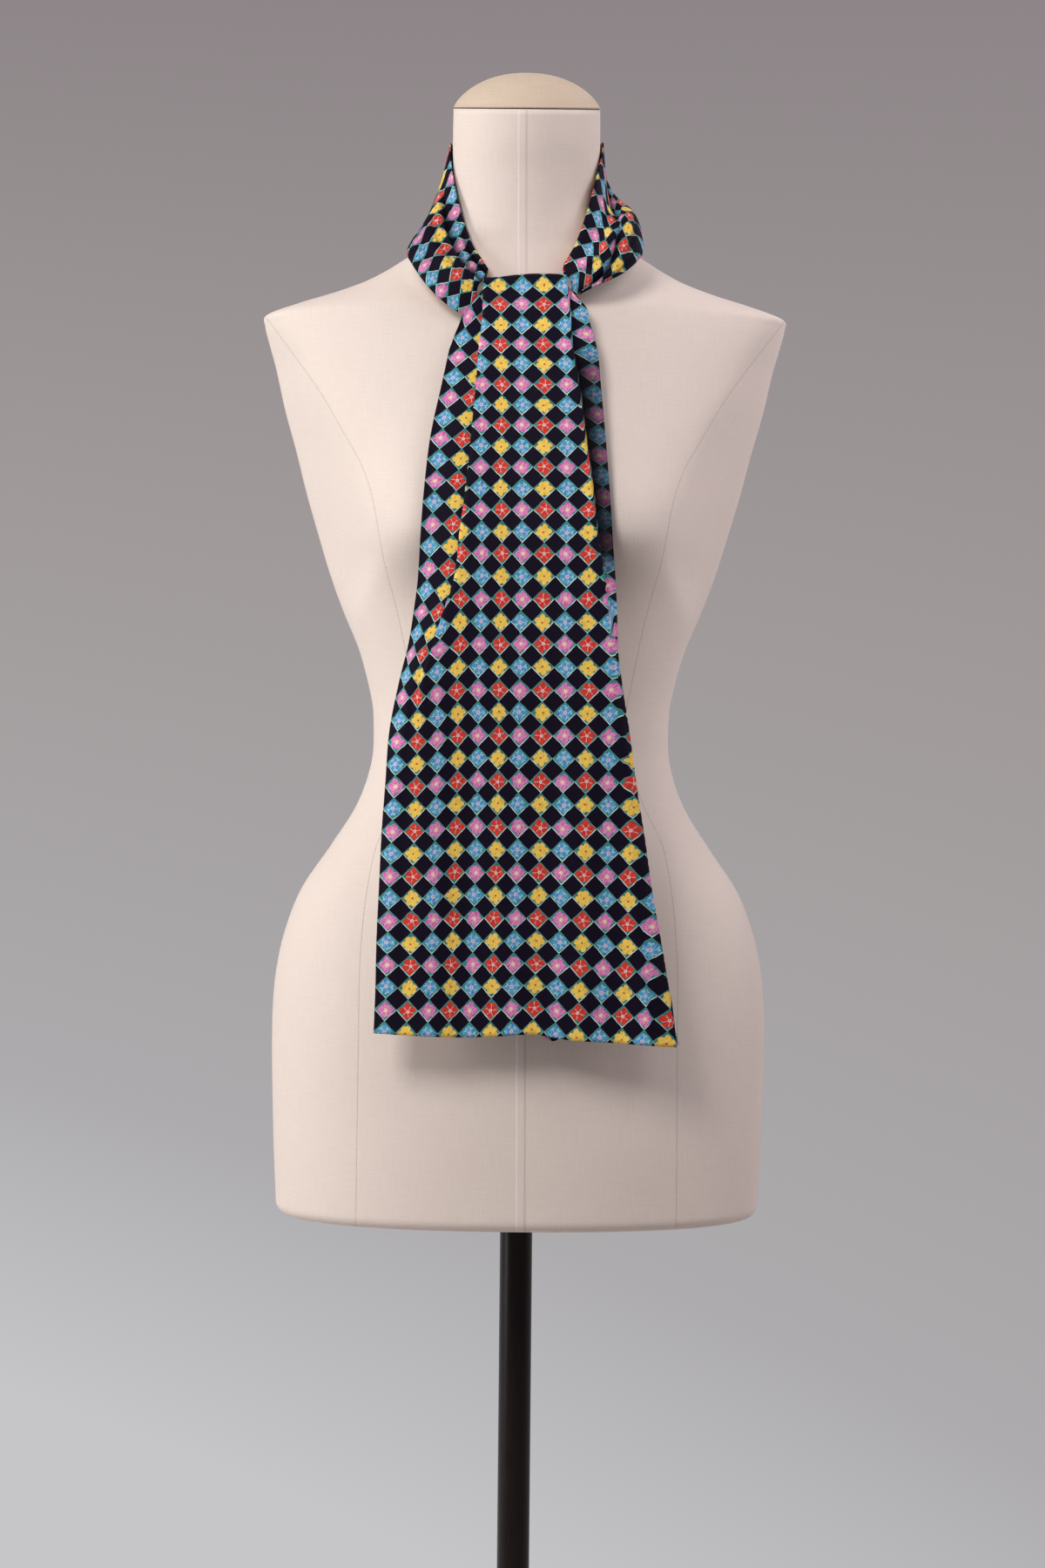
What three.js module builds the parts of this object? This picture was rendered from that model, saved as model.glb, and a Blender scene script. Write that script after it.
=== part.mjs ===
// A printed silk cravat, crossed once at the throat, on a limbless dress form with a pole and a base.
// Millimetres, +Z up, the front faces -Y. The origin is on the floor, under the middle of the pole.
import * as THREE from "three";
import { mergeVertices } from "three/addons/utils/BufferGeometryUtils.js";

// Driving dimensions
const CLOTH_WALL = 1.6;
const SEAM_GAP = 0.3;
const WRAP_SEAM_GAP = 0.5;
const FORM_BOTTOM = 718;
const NECK_SEAM = 1570.5;
const CAP_HEIGHT = 27;
const CAP_GAP = 0.5;
const NECK_TILT = THREE.MathUtils.degToRad(12);
const POLE_DIAMETER = 25;
const BASE_DIAMETER = 350;
const BASE_THICKNESS = 8;
const BASE_EDGE = 3;
const BOSS_DIAMETER = 62;
const BOSS_HEIGHT = 38;
const SOCKET_FLOOR = 9;
const HEM = 866;
const THROAT_TOP = 1432;
const ROLL_RADIUS = 7;
const TURN_RADIUS = 2.2;
const BUST = { side: 84, height: 1238, rise: 34, wide: 34, above: 40, below: 27 };
const ARMHOLE_TURN = 0.54;
const CAP_CURVE = { across: 2.2, up: 0.72 };
const HEM_SAG = { from: 20, over: 95, drop: 7.2 };
const FORM_STEPS = 44;
const BUST_LEVELS = [1195, 1227, 1259];

// Rows of numbers with named columns.
const table = (columns, rows) =>
  rows.map((row) => Object.fromEntries(columns.map((name, i) => [name, row[i]])));

// A smooth value between the rows of a table, whose first column rises.
function valueAt(rows, column, place) {
  const key = Object.keys(rows[0])[0];
  const last = rows.length - 1;
  if (place <= rows[0][key]) return rows[0][column];
  if (place >= rows[last][key]) return rows[last][column];
  let i = 0;
  while (rows[i + 1][key] < place) i += 1;
  const slope = (a, b) => (rows[b][column] - rows[a][column]) / (rows[b][key] - rows[a][key]);
  const gap = rows[i + 1][key] - rows[i][key];
  const t = (place - rows[i][key]) / gap;
  const leave = slope(Math.max(i - 1, 0), i + 1) * gap;
  const arrive = slope(i, Math.min(i + 2, last)) * gap;
  const a = rows[i][column];
  const b = rows[i + 1][column];
  return (
    a * (1 + 2 * t) * (1 - t) ** 2 +
    leave * t * (1 - t) ** 2 +
    b * t * t * (3 - 2 * t) -
    arrive * t * t * (1 - t)
  );
}

const rowAt = (rows, place) =>
  Object.fromEntries(Object.keys(rows[0]).map((name) => [name, valueAt(rows, name, place)]));

const smooth = THREE.MathUtils.smoothstep;
const mix = THREE.MathUtils.lerp;

// Closed solids from rings and from sheets
class Skin {
  constructor() {
    this.points = [];
    this.faces = [];
  }

  add(point) {
    this.points.push(point);
    return this.points.length - 1;
  }

  quad(a, b, c, d) {
    this.faces.push([a, b, c], [a, c, d]);
  }

  // The closed surface, turned so that its faces point outwards.
  geometry() {
    let volume = 0;
    for (const [a, b, c] of this.faces) {
      const normal = new THREE.Vector3().crossVectors(this.points[b], this.points[c]);
      volume += this.points[a].dot(normal);
    }
    const faces = volume < 0 ? this.faces.map(([a, b, c]) => [a, c, b]) : this.faces;
    const shape = new THREE.BufferGeometry().setFromPoints(this.points);
    shape.setIndex(faces.flat());
    const merged = mergeVertices(shape, 1e-4);
    merged.computeVertexNormals();
    return merged;
  }
}

// A solid through closed rings of points, from one end to the other, with both ends capped.
function ringSolid(rings) {
  const skin = new Skin();
  const steps = rings[0].length;
  const numbers = rings.map((ring) => ring.map((point) => skin.add(point)));
  numbers.slice(1).forEach((ring, i) => {
    for (let k = 0; k < steps; k += 1) {
      const next = (k + 1) % steps;
      skin.quad(numbers[i][k], numbers[i][next], ring[next], ring[k]);
    }
  });
  [0, rings.length - 1].forEach((end) => {
    const middle = new THREE.Vector3();
    rings[end].forEach((point) => middle.addScaledVector(point, 1 / steps));
    const centre = skin.add(middle);
    const ring = numbers[end];
    for (let k = 0; k < steps; k += 1) {
      const pair = [ring[k], ring[(k + 1) % steps]];
      if (end === 0) pair.reverse();
      skin.faces.push([centre, ...pair]);
    }
  });
  return skin.geometry();
}

// A cloth wall of even thickness on a grid of middle points: rows of equally many points.
function clothWall(grid, thickness = CLOTH_WALL) {
  const skin = new Skin();
  const rows = grid.length;
  const columns = grid[0].length;
  const at = (i, k) => grid[THREE.MathUtils.clamp(i, 0, rows - 1)][
    THREE.MathUtils.clamp(k, 0, columns - 1)];
  const sides = [1, -1].map((side) =>
    grid.map((row, i) =>
      row.map((point, k) => {
        const along = at(i + 1, k).clone().sub(at(i - 1, k));
        const across = at(i, k + 1).clone().sub(at(i, k - 1));
        const normal = along.cross(across).normalize();
        return skin.add(point.clone().addScaledVector(normal, (side * thickness) / 2));
      }),
    ),
  );
  for (let i = 0; i + 1 < rows; i += 1) {
    for (let k = 0; k + 1 < columns; k += 1) {
      const [front, back] = sides;
      skin.quad(front[i][k], front[i][k + 1], front[i + 1][k + 1], front[i + 1][k]);
      skin.quad(back[i][k], back[i + 1][k], back[i + 1][k + 1], back[i][k + 1]);
    }
  }
  const rim = [];
  for (let k = 0; k + 1 < columns; k += 1) rim.push([0, k]);
  for (let i = 0; i + 1 < rows; i += 1) rim.push([i, columns - 1]);
  for (let k = columns - 1; k > 0; k -= 1) rim.push([rows - 1, k]);
  for (let i = rows - 1; i > 0; i -= 1) rim.push([i, 0]);
  rim.forEach(([i, k], n) => {
    const [j, m] = rim[(n + 1) % rim.length];
    const [front, back] = sides;
    skin.quad(front[i][k], back[i][k], back[j][m], front[j][m]);
  });
  return skin.geometry();
}

// Dress form: a row for each height, with the half width, where it is widest, its front and its back.
const FORM_ROWS = table(
  ["z", "half", "middle", "front", "back", "round"],
  [
    [727, 186, 0, -124, 112, 2.3],
    [782, 188.5, 0, -127, 114, 2.3],
    [863, 190, 0, -128, 116, 2.3],
    [903, 187.5, 0, -126, 115, 2.3],
    [936, 180.5, 0, -122, 112, 2.3],
    [968, 168, 0, -116, 106, 2.25],
    [1000, 146.5, 0, -108, 98, 2.2],
    [1033, 126, 0, -99, 89, 2.15],
    [1065, 115.5, 0, -94, 82, 2.1],
    [1090, 114, 0, -92, 79, 2.1],
    [1114, 116, 2, -93, 79, 2.1],
    [1146, 125.6, 6, -96, 82, 2.1],
    [1179, 140, 12, -99, 86, 2.1],
    [1211, 152, 18, -102, 90, 2.1],
    [1243, 162, 22, -104, 93, 2.1],
    [1275, 171.5, 24, -104, 95, 2.1],
    [1308, 180, 25, -101, 96, 2.1],
    [1340, 189, 25, -90, 97, 2.1],
    [1373, 196.5, 24, -77, 96, 2.05],
    [1389, 201, 22, -70, 93, 2.0],
    [1405, 205, 20, -63.5, 89, 1.9],
    [1413, 204, 19, -60.5, 86, 1.8],
    [1421.6, 181, 19, -57.5, 82, 1.7],
    [1429.7, 153, 18, -55, 78, 1.65],
    [1437.8, 129, 17, -53, 74, 1.7],
    [1446, 111, 15, -51, 70, 1.75],
    [1454, 97, 12, -49.5, 66, 1.8],
    [1462, 84, 9, -48.5, 63, 1.85],
    [1471, 71, 7, -48.5, 61, 1.95],
    [1481, 62, 5.5, -49, 59.5, 2],
    [1495, 57.8, 4, -50.5, 58.5, 2],
    [1520, 57, 1, -54, 55.5, 2],
    [1545, 57, -3, -59, 52, 2],
    [NECK_SEAM, 56.7, -6, -63, 50, 2],
  ],
);
const BOTTOM_ROUNDING = table(
  ["up", "inset"],
  [
    [0, 9],
    [2.6, 2.6],
  ],
);

const softLess = (a, b, blend) => (a + b - Math.hypot(a - b, blend)) / 2;

// One level ring of the form. Its front is pressed out at the bust and cut flat at the armholes.
function formRing(z, inset = 0) {
  const row = rowAt(FORM_ROWS, z);
  const power = 2 / row.round;
  const turn = ARMHOLE_TURN * smooth(z, 1130, 1225) * (1 - smooth(z, 1416, 1436));
  const lean = Math.tan(NECK_TILT) * smooth(z, 1481, NECK_SEAM);
  const plateShare = smooth(z, 1114, 1170) * (1 - smooth(z, 1422, 1450));
  const ring = [];
  for (let k = 0; k < FORM_STEPS; k += 1) {
    const angle = (2 * Math.PI * (k + 0.5)) / FORM_STEPS;
    const cos = Math.cos(angle);
    const sin = Math.sin(angle);
    const depth = sin < 0 ? row.middle - row.front - inset : row.back - row.middle - inset;
    let x = (row.half - inset) * Math.abs(cos) ** power;
    let y = row.middle + Math.sign(sin) * depth * Math.abs(sin) ** power;
    const plate = row.half + 2 - turn * Math.max(row.middle - y, -30);
    x = mix(x, softLess(x, plate, 6), plateShare);
    if (sin < 0) {
      const tall = z > BUST.height ? BUST.above : BUST.below;
      const off = ((x - BUST.side) / BUST.wide) ** 2 + ((z - BUST.height) / tall) ** 2;
      y -= BUST.rise * Math.exp(-off / 2) * Math.min(1, -3 * sin);
    }
    const tilted = z + (y - row.middle) * lean;
    ring.push(new THREE.Vector3(Math.sign(cos) * x, y, tilted));
  }
  return ring;
}

function formBody() {
  const edge = BOTTOM_ROUNDING.map(({ up, inset }) => {
    const ring = formRing(FORM_ROWS[0].z, inset);
    ring.forEach((point) => (point.z = FORM_BOTTOM + up));
    return ring;
  });
  const heights = [...FORM_ROWS.map(({ z }) => z), ...BUST_LEVELS].sort((a, b) => a - b);
  return ringSolid([...edge, ...heights.map((z) => formRing(z))]);
}

// The dome that closes the neck, on the same tilted plane.
function neckCap() {
  const seam = formRing(NECK_SEAM);
  const middle = new THREE.Vector3(0, rowAt(FORM_ROWS, NECK_SEAM).middle, NECK_SEAM);
  const up = new THREE.Vector3(0, -Math.sin(NECK_TILT), Math.cos(NECK_TILT));
  const shares = [1, 0.985, 0.93, 0.84, 0.72, 0.57, 0.4, 0.2];
  const rings = shares.map((share) => {
    const rise = CAP_GAP + CAP_HEIGHT * (1 - share ** CAP_CURVE.across) ** CAP_CURVE.up;
    return seam.map((point) =>
      middle.clone().lerp(point, share).addScaledVector(up, rise));
  });
  return ringSolid(rings);
}

function pole() {
  const foot = SOCKET_FLOOR + SEAM_GAP;
  const height = FORM_BOTTOM - SEAM_GAP - foot;
  const shape = new THREE.CylinderGeometry(POLE_DIAMETER / 2, POLE_DIAMETER / 2, height, 28);
  shape.rotateX(Math.PI / 2);
  shape.translate(0, 0, foot + height / 2);
  return shape;
}

// A round plate with a rounded rim and a boss that takes the pole in a blind socket.
function basePlate() {
  const rim = BASE_DIAMETER / 2;
  const boss = BOSS_DIAMETER / 2;
  const socket = POLE_DIAMETER / 2 + SEAM_GAP;
  const profile = [[0, 0], [rim - 1, 0], [rim, 1]];
  for (let k = 0; k <= 3; k += 1) {
    const angle = (Math.PI / 6) * k;
    const corner = BASE_THICKNESS - BASE_EDGE;
    const out = BASE_EDGE * Math.cos(angle);
    profile.push([rim - BASE_EDGE + out, corner + BASE_EDGE * Math.sin(angle)]);
  }
  profile.push([boss + 10, BASE_THICKNESS + 1.5], [boss + 2, BASE_THICKNESS + 5]);
  profile.push([boss - 9, BOSS_HEIGHT - 4], [boss - 12, BOSS_HEIGHT]);
  profile.push([socket, BOSS_HEIGHT], [socket, SOCKET_FLOOR], [0, SOCKET_FLOOR]);
  const shape = new THREE.LatheGeometry(
    profile.map(([radius, height]) => new THREE.Vector2(radius, height)),
    48,
  );
  shape.rotateX(Math.PI / 2);
  shape.scale(1, -1, 1);
  return turnedOut(shape);
}

// The same closed shape with every face turned outwards.
function turnedOut(shape) {
  const bare = new THREE.BufferGeometry().setAttribute("position", shape.getAttribute("position"));
  bare.setIndex(shape.index);
  const merged = mergeVertices(bare, 1e-3);
  const skin = new Skin();
  const place = merged.getAttribute("position");
  for (let i = 0; i < place.count; i += 1) {
    skin.add(new THREE.Vector3().fromBufferAttribute(place, i));
  }
  const index = merged.index.array;
  for (let i = 0; i < index.length; i += 3) {
    const face = [index[i], index[i + 1], index[i + 2]];
    if (new Set(face).size === 3) skin.faces.push(face);
  }
  return skin.geometry();
}

// Front end of the cravat. depth is the middle panel's place, left and right are the outer edges.
// A fold line is where a panel's edge shows, and its lap is how far the cloth hides behind it.
const APRON_ROWS = table(
  ["z", "depth", "left", "left_fold", "left_lap", "right_fold", "right_lap", "right",
    "turn_back", "step", "left_back", "right_back"],
  [
    [866, -160, -104.5, -72.5, -14, 96, -3, 115, 1.5, 0.5, 6, 4],
    [898, -160, -103.5, -73, -14, 92.5, -3, 111, 5.5, 0.5, 6, 4],
    [935, -160, -103, -73, -14, 88.5, -3, 104.5, 14, 0.5, 6, 5],
    [973, -160, -101.5, -73.5, -14, 84, -3, 97, 20.5, 0.5, 7, 5],
    [1011, -160, -100, -74, -14, 80, -3, 91, 27, 0.5, 7, 5],
    [1049, -160, -97.5, -73, -14, 76, -3, 84.5, 33, 0.5, 8, 5],
    [1087, -160, -95, -72, -10, 72, -3, 79, 39, 0.8, 9, 4],
    [1124, -160, -88, -70.5, -4, 66.5, -3, 73, 45, 1.2, 9, 4],
    [1150, -159, -82, -64.5, 2, 64.5, -2, 70, 47, 1.8, 10, 4],
    [1175, -157, -78.5, -55.5, 6, 63, 1, 69.5, 48, 2.6, 10, 5],
    [1198, -155, -76, -48, 9.5, 59.5, 3, 68.5, 48, 3, 10, 8],
    [1231, -151, -74.5, -44.5, 12.5, 54, 3.5, 66, 48, 3, 8, 10],
    [1265, -143, -72.5, -40.5, 15, 50, 4.5, 63.5, 48, 3, 4, 8],
    [1305, -131, -68.5, -37, 18, 44.5, 5.5, 60.5, 48, 3, 5, 11],
    [1345, -117, -61, -34, 22, 39.5, 7.5, 57, 46, 3, 7, 12],
    [1372, -105, -56, -32.5, 25, 35, 9, 54.5, 36, 3, 7, 9],
    [1398, -91, -52, -30, 26, 33, 10, 48.5, 20, 3, 4, 5],
    [1411, -84, -49.5, -30, 27, 32, 10, 46, 8, 3, 3, 3],
    [1425, -76, -47, -30, 27, 30.5, 10, 37, 2, 3, 3, 2],
  ],
);
const APRON_FLAT_TOP = { left: -30, right: 31, left_fall: 1.5, right_fall: 1.3 };
const ROLL_SHARES = [1, 0.7, 0.4, 0.15];
const BELOW_ROLL_SHARES = [0, 0.3, 0.65];
const APRON_HEIGHTS = [
  1372, 1358, 1345, 1325, 1305, 1285, 1265, 1248, 1231, 1215, 1198, 1186, 1175, 1162, 1150, 1137,
  1124, 1105, 1087, 1068, 1049, 1011, 973, 935, 915, 898, 882, HEM,
];

// The cloth from a valley, behind, to a mountain, in front: three layers while it laps, else a slope.
function foldPoints(valley, mountain, step, side) {
  const lap = side * (valley - mountain);
  const folded = smooth(lap, 0, 3);
  const bulge = (side * step) / 2;
  const layers = [
    [valley, 2 * step],
    [valley + bulge, 1.5 * step],
    [valley, step],
    [mountain, step],
    [mountain - bulge, 0.5 * step],
    [mountain, 0],
  ];
  return layers.map(([x, back], k) => {
    const share = k / (layers.length - 1);
    const slope = 2 * step * (1 - smooth(share, 0, 1));
    return [mix(mix(valley, mountain, share), x, folded), mix(slope, back, folded)];
  });
}

// The right edge, where the cloth turns back behind itself.
function turnPoints(row) {
  const angle = Math.min(Math.PI, row.turn_back / 4);
  const rest = Math.max(row.turn_back - TURN_RADIUS * angle, 0.5);
  const reach = angle < Math.PI / 2
    ? TURN_RADIUS * Math.sin(angle) + rest * Math.cos(angle)
    : TURN_RADIUS;
  const back = 2 * row.step + row.right_back;
  const points = [0, 1, 2, 3].map((k) => {
    const part = (angle * k) / 3;
    const x = row.right - reach + TURN_RADIUS * Math.sin(part);
    return [x, back + TURN_RADIUS * (1 - Math.cos(part))];
  });
  const [x, depth] = points[3];
  const extra = Math.max(row.right_back - 4, 0);
  [0.25, 0.5, 1].forEach((share) => {
    const forward = extra * smooth(share, 0, 0.55);
    const far = share * rest;
    points.push([x + far * Math.cos(angle), depth - forward + far * Math.sin(angle)]);
  });
  return points;
}

// The apron's section at a height: each point's x, and how far it lies behind the middle panel.
function apronSection(z) {
  const row = rowAt(APRON_ROWS, z);
  const deep = 2 * row.step;
  const leftValley = row.left_fold + row.left_lap;
  const rightValley = row.right_fold - row.right_lap;
  const left = [0, 0.33, 0.66].map((share) =>
    [mix(row.left, leftValley, share), deep + row.left_back * (1 - share) ** 2]);
  const middle = [0.2, 0.4, 0.6, 0.8].map((share) =>
    [mix(row.left_fold, row.right_fold, share), 0]);
  const right = foldPoints(rightValley, row.right_fold, row.step, -1).reverse();
  const turn = turnPoints(row);
  const side = [mix(rightValley, turn[0][0], 0.5), deep + row.right_back * 0.25];
  return [
    ...left,
    ...foldPoints(leftValley, row.left_fold, row.step, 1),
    ...middle,
    ...right,
    side,
    ...turn,
  ];
}

const apronDepth = (z) => valueAt(APRON_ROWS, "depth", z);

// Height of the roll over the throat: level in the middle and falling away on each side.
function rollTop(x) {
  const { left, right, left_fall: leftFall, right_fall: rightFall } = APRON_FLAT_TOP;
  return THROAT_TOP - leftFall * Math.max(left - x, 0) - rightFall * Math.max(x - right, 0);
}

// A point on the roll, share 0 at its front and 1 at its far end. Inner layers turn more tightly.
function rollPoint(x, back, share) {
  const top = rollTop(x);
  const radius = Math.max(ROLL_RADIUS - back, 0.6);
  const furthest = mix(150, 80, smooth(back, 0, 5));
  const angle = THREE.MathUtils.degToRad(furthest) * share;
  const centre = top - ROLL_RADIUS;
  const behind = back > ROLL_RADIUS - 0.6 ? back - ROLL_RADIUS + 0.6 : 0;
  const y = apronDepth(centre) + ROLL_RADIUS + behind - radius * Math.cos(angle);
  return new THREE.Vector3(x, y, centre + radius * Math.sin(angle));
}

// How far the cloth hangs lower towards its right edge, near the hem.
function hemSag(x, z) {
  const share = Math.max(x - HEM_SAG.from, 0) / HEM_SAG.over;
  return HEM_SAG.drop * share ** 1.2 * (1 - smooth(z, 900, 1100));
}

function frontApron() {
  const throat = apronSection(THROAT_TOP - ROLL_RADIUS);
  const grid = ROLL_SHARES.map((share) =>
    throat.map(([x, back]) => rollPoint(x, back, share)));
  BELOW_ROLL_SHARES.forEach((share) => {
    grid.push(throat.map(([x, back], k) => {
      const z = mix(rollTop(x) - ROLL_RADIUS, APRON_HEIGHTS[0], share);
      const [lowX, lowBack] = apronSection(z)[k];
      return new THREE.Vector3(mix(x, lowX, share), apronDepth(z) + mix(back, lowBack, share), z);
    }));
  });
  APRON_HEIGHTS.forEach((z) => {
    grid.push(apronSection(z).map(([x, back]) =>
      new THREE.Vector3(x, apronDepth(z) + back, z - hemSag(x, z))));
  });
  return clothWall(grid);
}

// Neck wraps: a section at each angle from the front, as radius and height of six places on it:
// the inner hem, the top fold, the crease below it, the puff, the outer fold and the tucked hem.
const WRAP_COLUMNS = ["angle", "in_r", "in_z", "top_r", "top_z", "crease_r", "crease_z", "puff_r",
  "puff_z", "out_r", "out_z", "tuck_r", "tuck_z"];
const LEFT_WRAP = table(WRAP_COLUMNS, [
  [27, 66, 1430, 69.5, 1437, 73, 1432, 79, 1422, 81, 1400, 76, 1405],
  [34, 62.5, 1440, 65.5, 1449, 72, 1443, 84, 1434, 88, 1403, 79, 1410],
  [42, 61, 1452, 63, 1462, 69, 1456, 87, 1448, 96, 1414, 82, 1418],
  [50, 60, 1466, 61, 1475, 66, 1469, 88, 1462, 100, 1428, 84, 1430],
  [61, 60, 1483, 60, 1495, 65, 1488, 84, 1478, 101, 1447, 86, 1446],
  [75, 61, 1492, 59.4, 1520, 64, 1508, 76, 1489, 93, 1457, 82, 1460],
  [90, 61.5, 1495, 59.2, 1542.5, 63.5, 1524, 72, 1497, 89, 1463, 79, 1467.4],
  [105, 62, 1496, 59, 1547, 64, 1529, 72.5, 1501, 88, 1463.5, 78, 1468.6],
]);
const BACK_WRAP = table(WRAP_COLUMNS, [
  [105, 62, 1496, 59, 1547, 64, 1529, 72.5, 1501, 88, 1463.5, 78, 1468.6],
  [125, 62.5, 1493, 58.2, 1550, 64.5, 1533, 75, 1504, 90, 1460, 78, 1465],
  [150, 63, 1489, 57, 1550.5, 64, 1534, 75, 1504, 89, 1456, 78, 1461],
  [180, 63, 1488, 56.2, 1550.5, 63, 1534, 74, 1503, 88, 1454, 78, 1460],
  [210, 63, 1489, 57, 1550.5, 64, 1533, 74, 1504, 88, 1456, 78, 1461],
  [235, 62.5, 1493, 58.2, 1550, 64, 1532, 72, 1504, 88, 1460, 78, 1465],
  [255, 62, 1496, 59, 1547.5, 63, 1527, 70, 1500, 89, 1462.5, 77.5, 1468.6],
]);
const RIGHT_WRAP = table(WRAP_COLUMNS, [
  [27, 65.5, 1432, 69, 1441, 72, 1433, 75.5, 1428, 76.5, 1416, 71, 1415],
  [34, 62.5, 1443, 66, 1454, 75, 1444, 81, 1439, 85, 1423, 77, 1420],
  [42, 61, 1458, 63, 1470, 73, 1455, 88, 1450, 94, 1430, 81, 1427],
  [50, 60, 1472, 61, 1485, 71, 1467, 89, 1465, 98, 1437, 83, 1435],
  [61, 60, 1488, 60, 1508, 69, 1483, 88, 1480, 99, 1449, 84, 1448],
  [75, 61, 1493, 59.4, 1530, 67.5, 1493, 84.5, 1489, 93, 1460, 81, 1461],
  [90, 61.5, 1495, 59.2, 1546, 65, 1509, 79, 1496, 90, 1464, 78, 1468],
  [105, 62, 1496, 59, 1547.5, 63, 1527, 70, 1500, 89, 1462.5, 77.5, 1468.6],
]);
const WRAP_PLACES = ["in", "top", "crease", "puff", "out", "tuck"];
const WRAP_SAMPLES = 17;

// The wrap's middle line at one angle: a smooth curve through its six places.
function wrapSection(rows, degrees, side) {
  const row = rowAt(rows, degrees);
  const angle = THREE.MathUtils.degToRad(degrees) * side;
  const places = WRAP_PLACES.map((name) => new THREE.Vector3(
    Math.sin(angle) * row[name + "_r"],
    -Math.cos(angle) * row[name + "_r"],
    row[name + "_z"],
  ));
  const curve = new THREE.CatmullRomCurve3(places, false, "centripetal");
  return curve.getPoints(WRAP_SAMPLES - 1);
}

function neckWrap(rows, side, from, to, steps) {
  const grid = [];
  for (let i = 0; i <= steps; i += 1) {
    grid.push(wrapSection(rows, mix(from, to, i / steps), side));
  }
  return clothWall(grid);
}

// The end that hangs hidden behind the apron: its edges, and the depth of each edge.
const UNDER_ROWS = table(
  ["z", "left", "right", "left_depth", "right_depth"],
  [
    [867.5, -70, 117, -154.5, -152],
    [882, -69, 113.5, -154, -149.5],
    [898, -68, 109, -153.5, -147.4],
    [915, -67, 103.5, -153, -145.6],
    [935, -66, 100, -152.5, -146.2],
    [973, -65, 91, -152, -146],
    [1049, -62, 72, -151, -146],
    [1087, -58, 64, -150.5, -146],
    [1124, -55, 56, -149.5, -145],
    [1150, -52, 52, -146, -143],
    [1175, -48, 48, -142.5, -140.5],
    [1198, -44, 44, -139, -137.9],
    [1215, -42, 42, -136.9, -135.9],
    [1231, -40, 40, -134.6, -133.6],
    [1248, -38, 38, -130.5, -130],
    [1265, -36, 36, -126.8, -126.3],
    [1285, -34, 34, -121, -120.5],
    [1305, -33, 33, -114.5, -113.8],
    [1325, -32, 30, -107.1, -106.4],
    [1345, -30, 26, -99.5, -98.5],
    [1372, -27, 18, -89.5, -88.3],
    [1398, -25, 8, -76.5, -76],
    [1422, -24, 6, -61.5, -61.5],
  ],
);
const UNDER_WAVES = 3;
const UNDER_WAVE_DEPTH = 0.2;
const UNDER_STEPS = 8;

function underEnd() {
  const grid = UNDER_ROWS.map((row) => {
    const points = [];
    for (let k = 0; k <= UNDER_STEPS; k += 1) {
      const share = k / UNDER_STEPS;
      const wave = UNDER_WAVE_DEPTH * Math.sin(2 * Math.PI * UNDER_WAVES * share);
      const x = mix(row.left, row.right, share);
      const depth = mix(row.left_depth, row.right_depth, share) + wave;
      points.push(new THREE.Vector3(x, depth, row.z - hemSag(x, row.z)));
    }
    return points;
  });
  return clothWall(grid);
}

const silk = { color: 0x22304a, roughness: 0.5, metalness: 0 };
const linen = { color: 0xe9dfd2, roughness: 0.9, metalness: 0 };
const capCloth = { color: 0xe6d8bd, roughness: 0.85, metalness: 0 };
const darkMetal = { color: 0x1d1512, roughness: 0.4, metalness: 0.6 };

const BACK_SEAM = 105;
const gapAngle = THREE.MathUtils.radToDeg(WRAP_SEAM_GAP / 60) / 2;
const pieces = [
  ["base_plate", basePlate(), darkMetal],
  ["pole", pole(), darkMetal],
  ["form_body", formBody(), linen],
  ["neck_cap", neckCap(), capCloth],
  ["front_apron", frontApron(), silk],
  ["under_end", underEnd(), silk],
  ["neck_wrap_left", neckWrap(LEFT_WRAP, -1, 27, BACK_SEAM - gapAngle, 13), silk],
  ["neck_wrap_right", neckWrap(RIGHT_WRAP, 1, 27, BACK_SEAM - gapAngle, 13), silk],
  [
    "neck_wrap_back",
    neckWrap(BACK_WRAP, -1, BACK_SEAM + gapAngle, 360 - BACK_SEAM - gapAngle, 14),
    silk,
  ],
];

const cravatOnForm = new THREE.Group();
pieces.forEach(([name, shape, look]) => {
  const mesh = new THREE.Mesh(shape, new THREE.MeshStandardMaterial(look));
  mesh.name = name;
  cravatOnForm.add(mesh);
});

export default cravatOnForm;
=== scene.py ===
"""A printed silk cravat on a linen dress form, in mm until a mesh is made. +Z up, the front faces -Y."""

import math
from types import SimpleNamespace

import bpy
import numpy as np
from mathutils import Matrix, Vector

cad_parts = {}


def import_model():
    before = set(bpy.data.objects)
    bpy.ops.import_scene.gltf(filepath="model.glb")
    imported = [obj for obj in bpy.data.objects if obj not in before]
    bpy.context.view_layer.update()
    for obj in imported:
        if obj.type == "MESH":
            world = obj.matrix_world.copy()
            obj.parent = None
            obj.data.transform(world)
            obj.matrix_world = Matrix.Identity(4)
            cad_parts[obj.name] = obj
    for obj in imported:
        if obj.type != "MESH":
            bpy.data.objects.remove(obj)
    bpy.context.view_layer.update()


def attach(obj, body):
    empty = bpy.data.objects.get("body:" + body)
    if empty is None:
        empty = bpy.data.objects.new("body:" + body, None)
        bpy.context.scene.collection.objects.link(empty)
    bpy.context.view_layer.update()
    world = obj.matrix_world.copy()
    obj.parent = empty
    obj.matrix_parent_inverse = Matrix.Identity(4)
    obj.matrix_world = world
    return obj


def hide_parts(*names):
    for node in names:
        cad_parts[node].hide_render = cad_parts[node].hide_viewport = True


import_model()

# Driving dimensions
MM = 0.001
PITCH = 16.6
SILK_WALL = 0.7
HEM_WALL = 1.8
FORM_BOTTOM = 718
BOTTOM_ROUND = 9
BUST = {"side": 84, "height": 1238, "rise": 34, "wide": 34, "above": 40, "below": 27}
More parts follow.
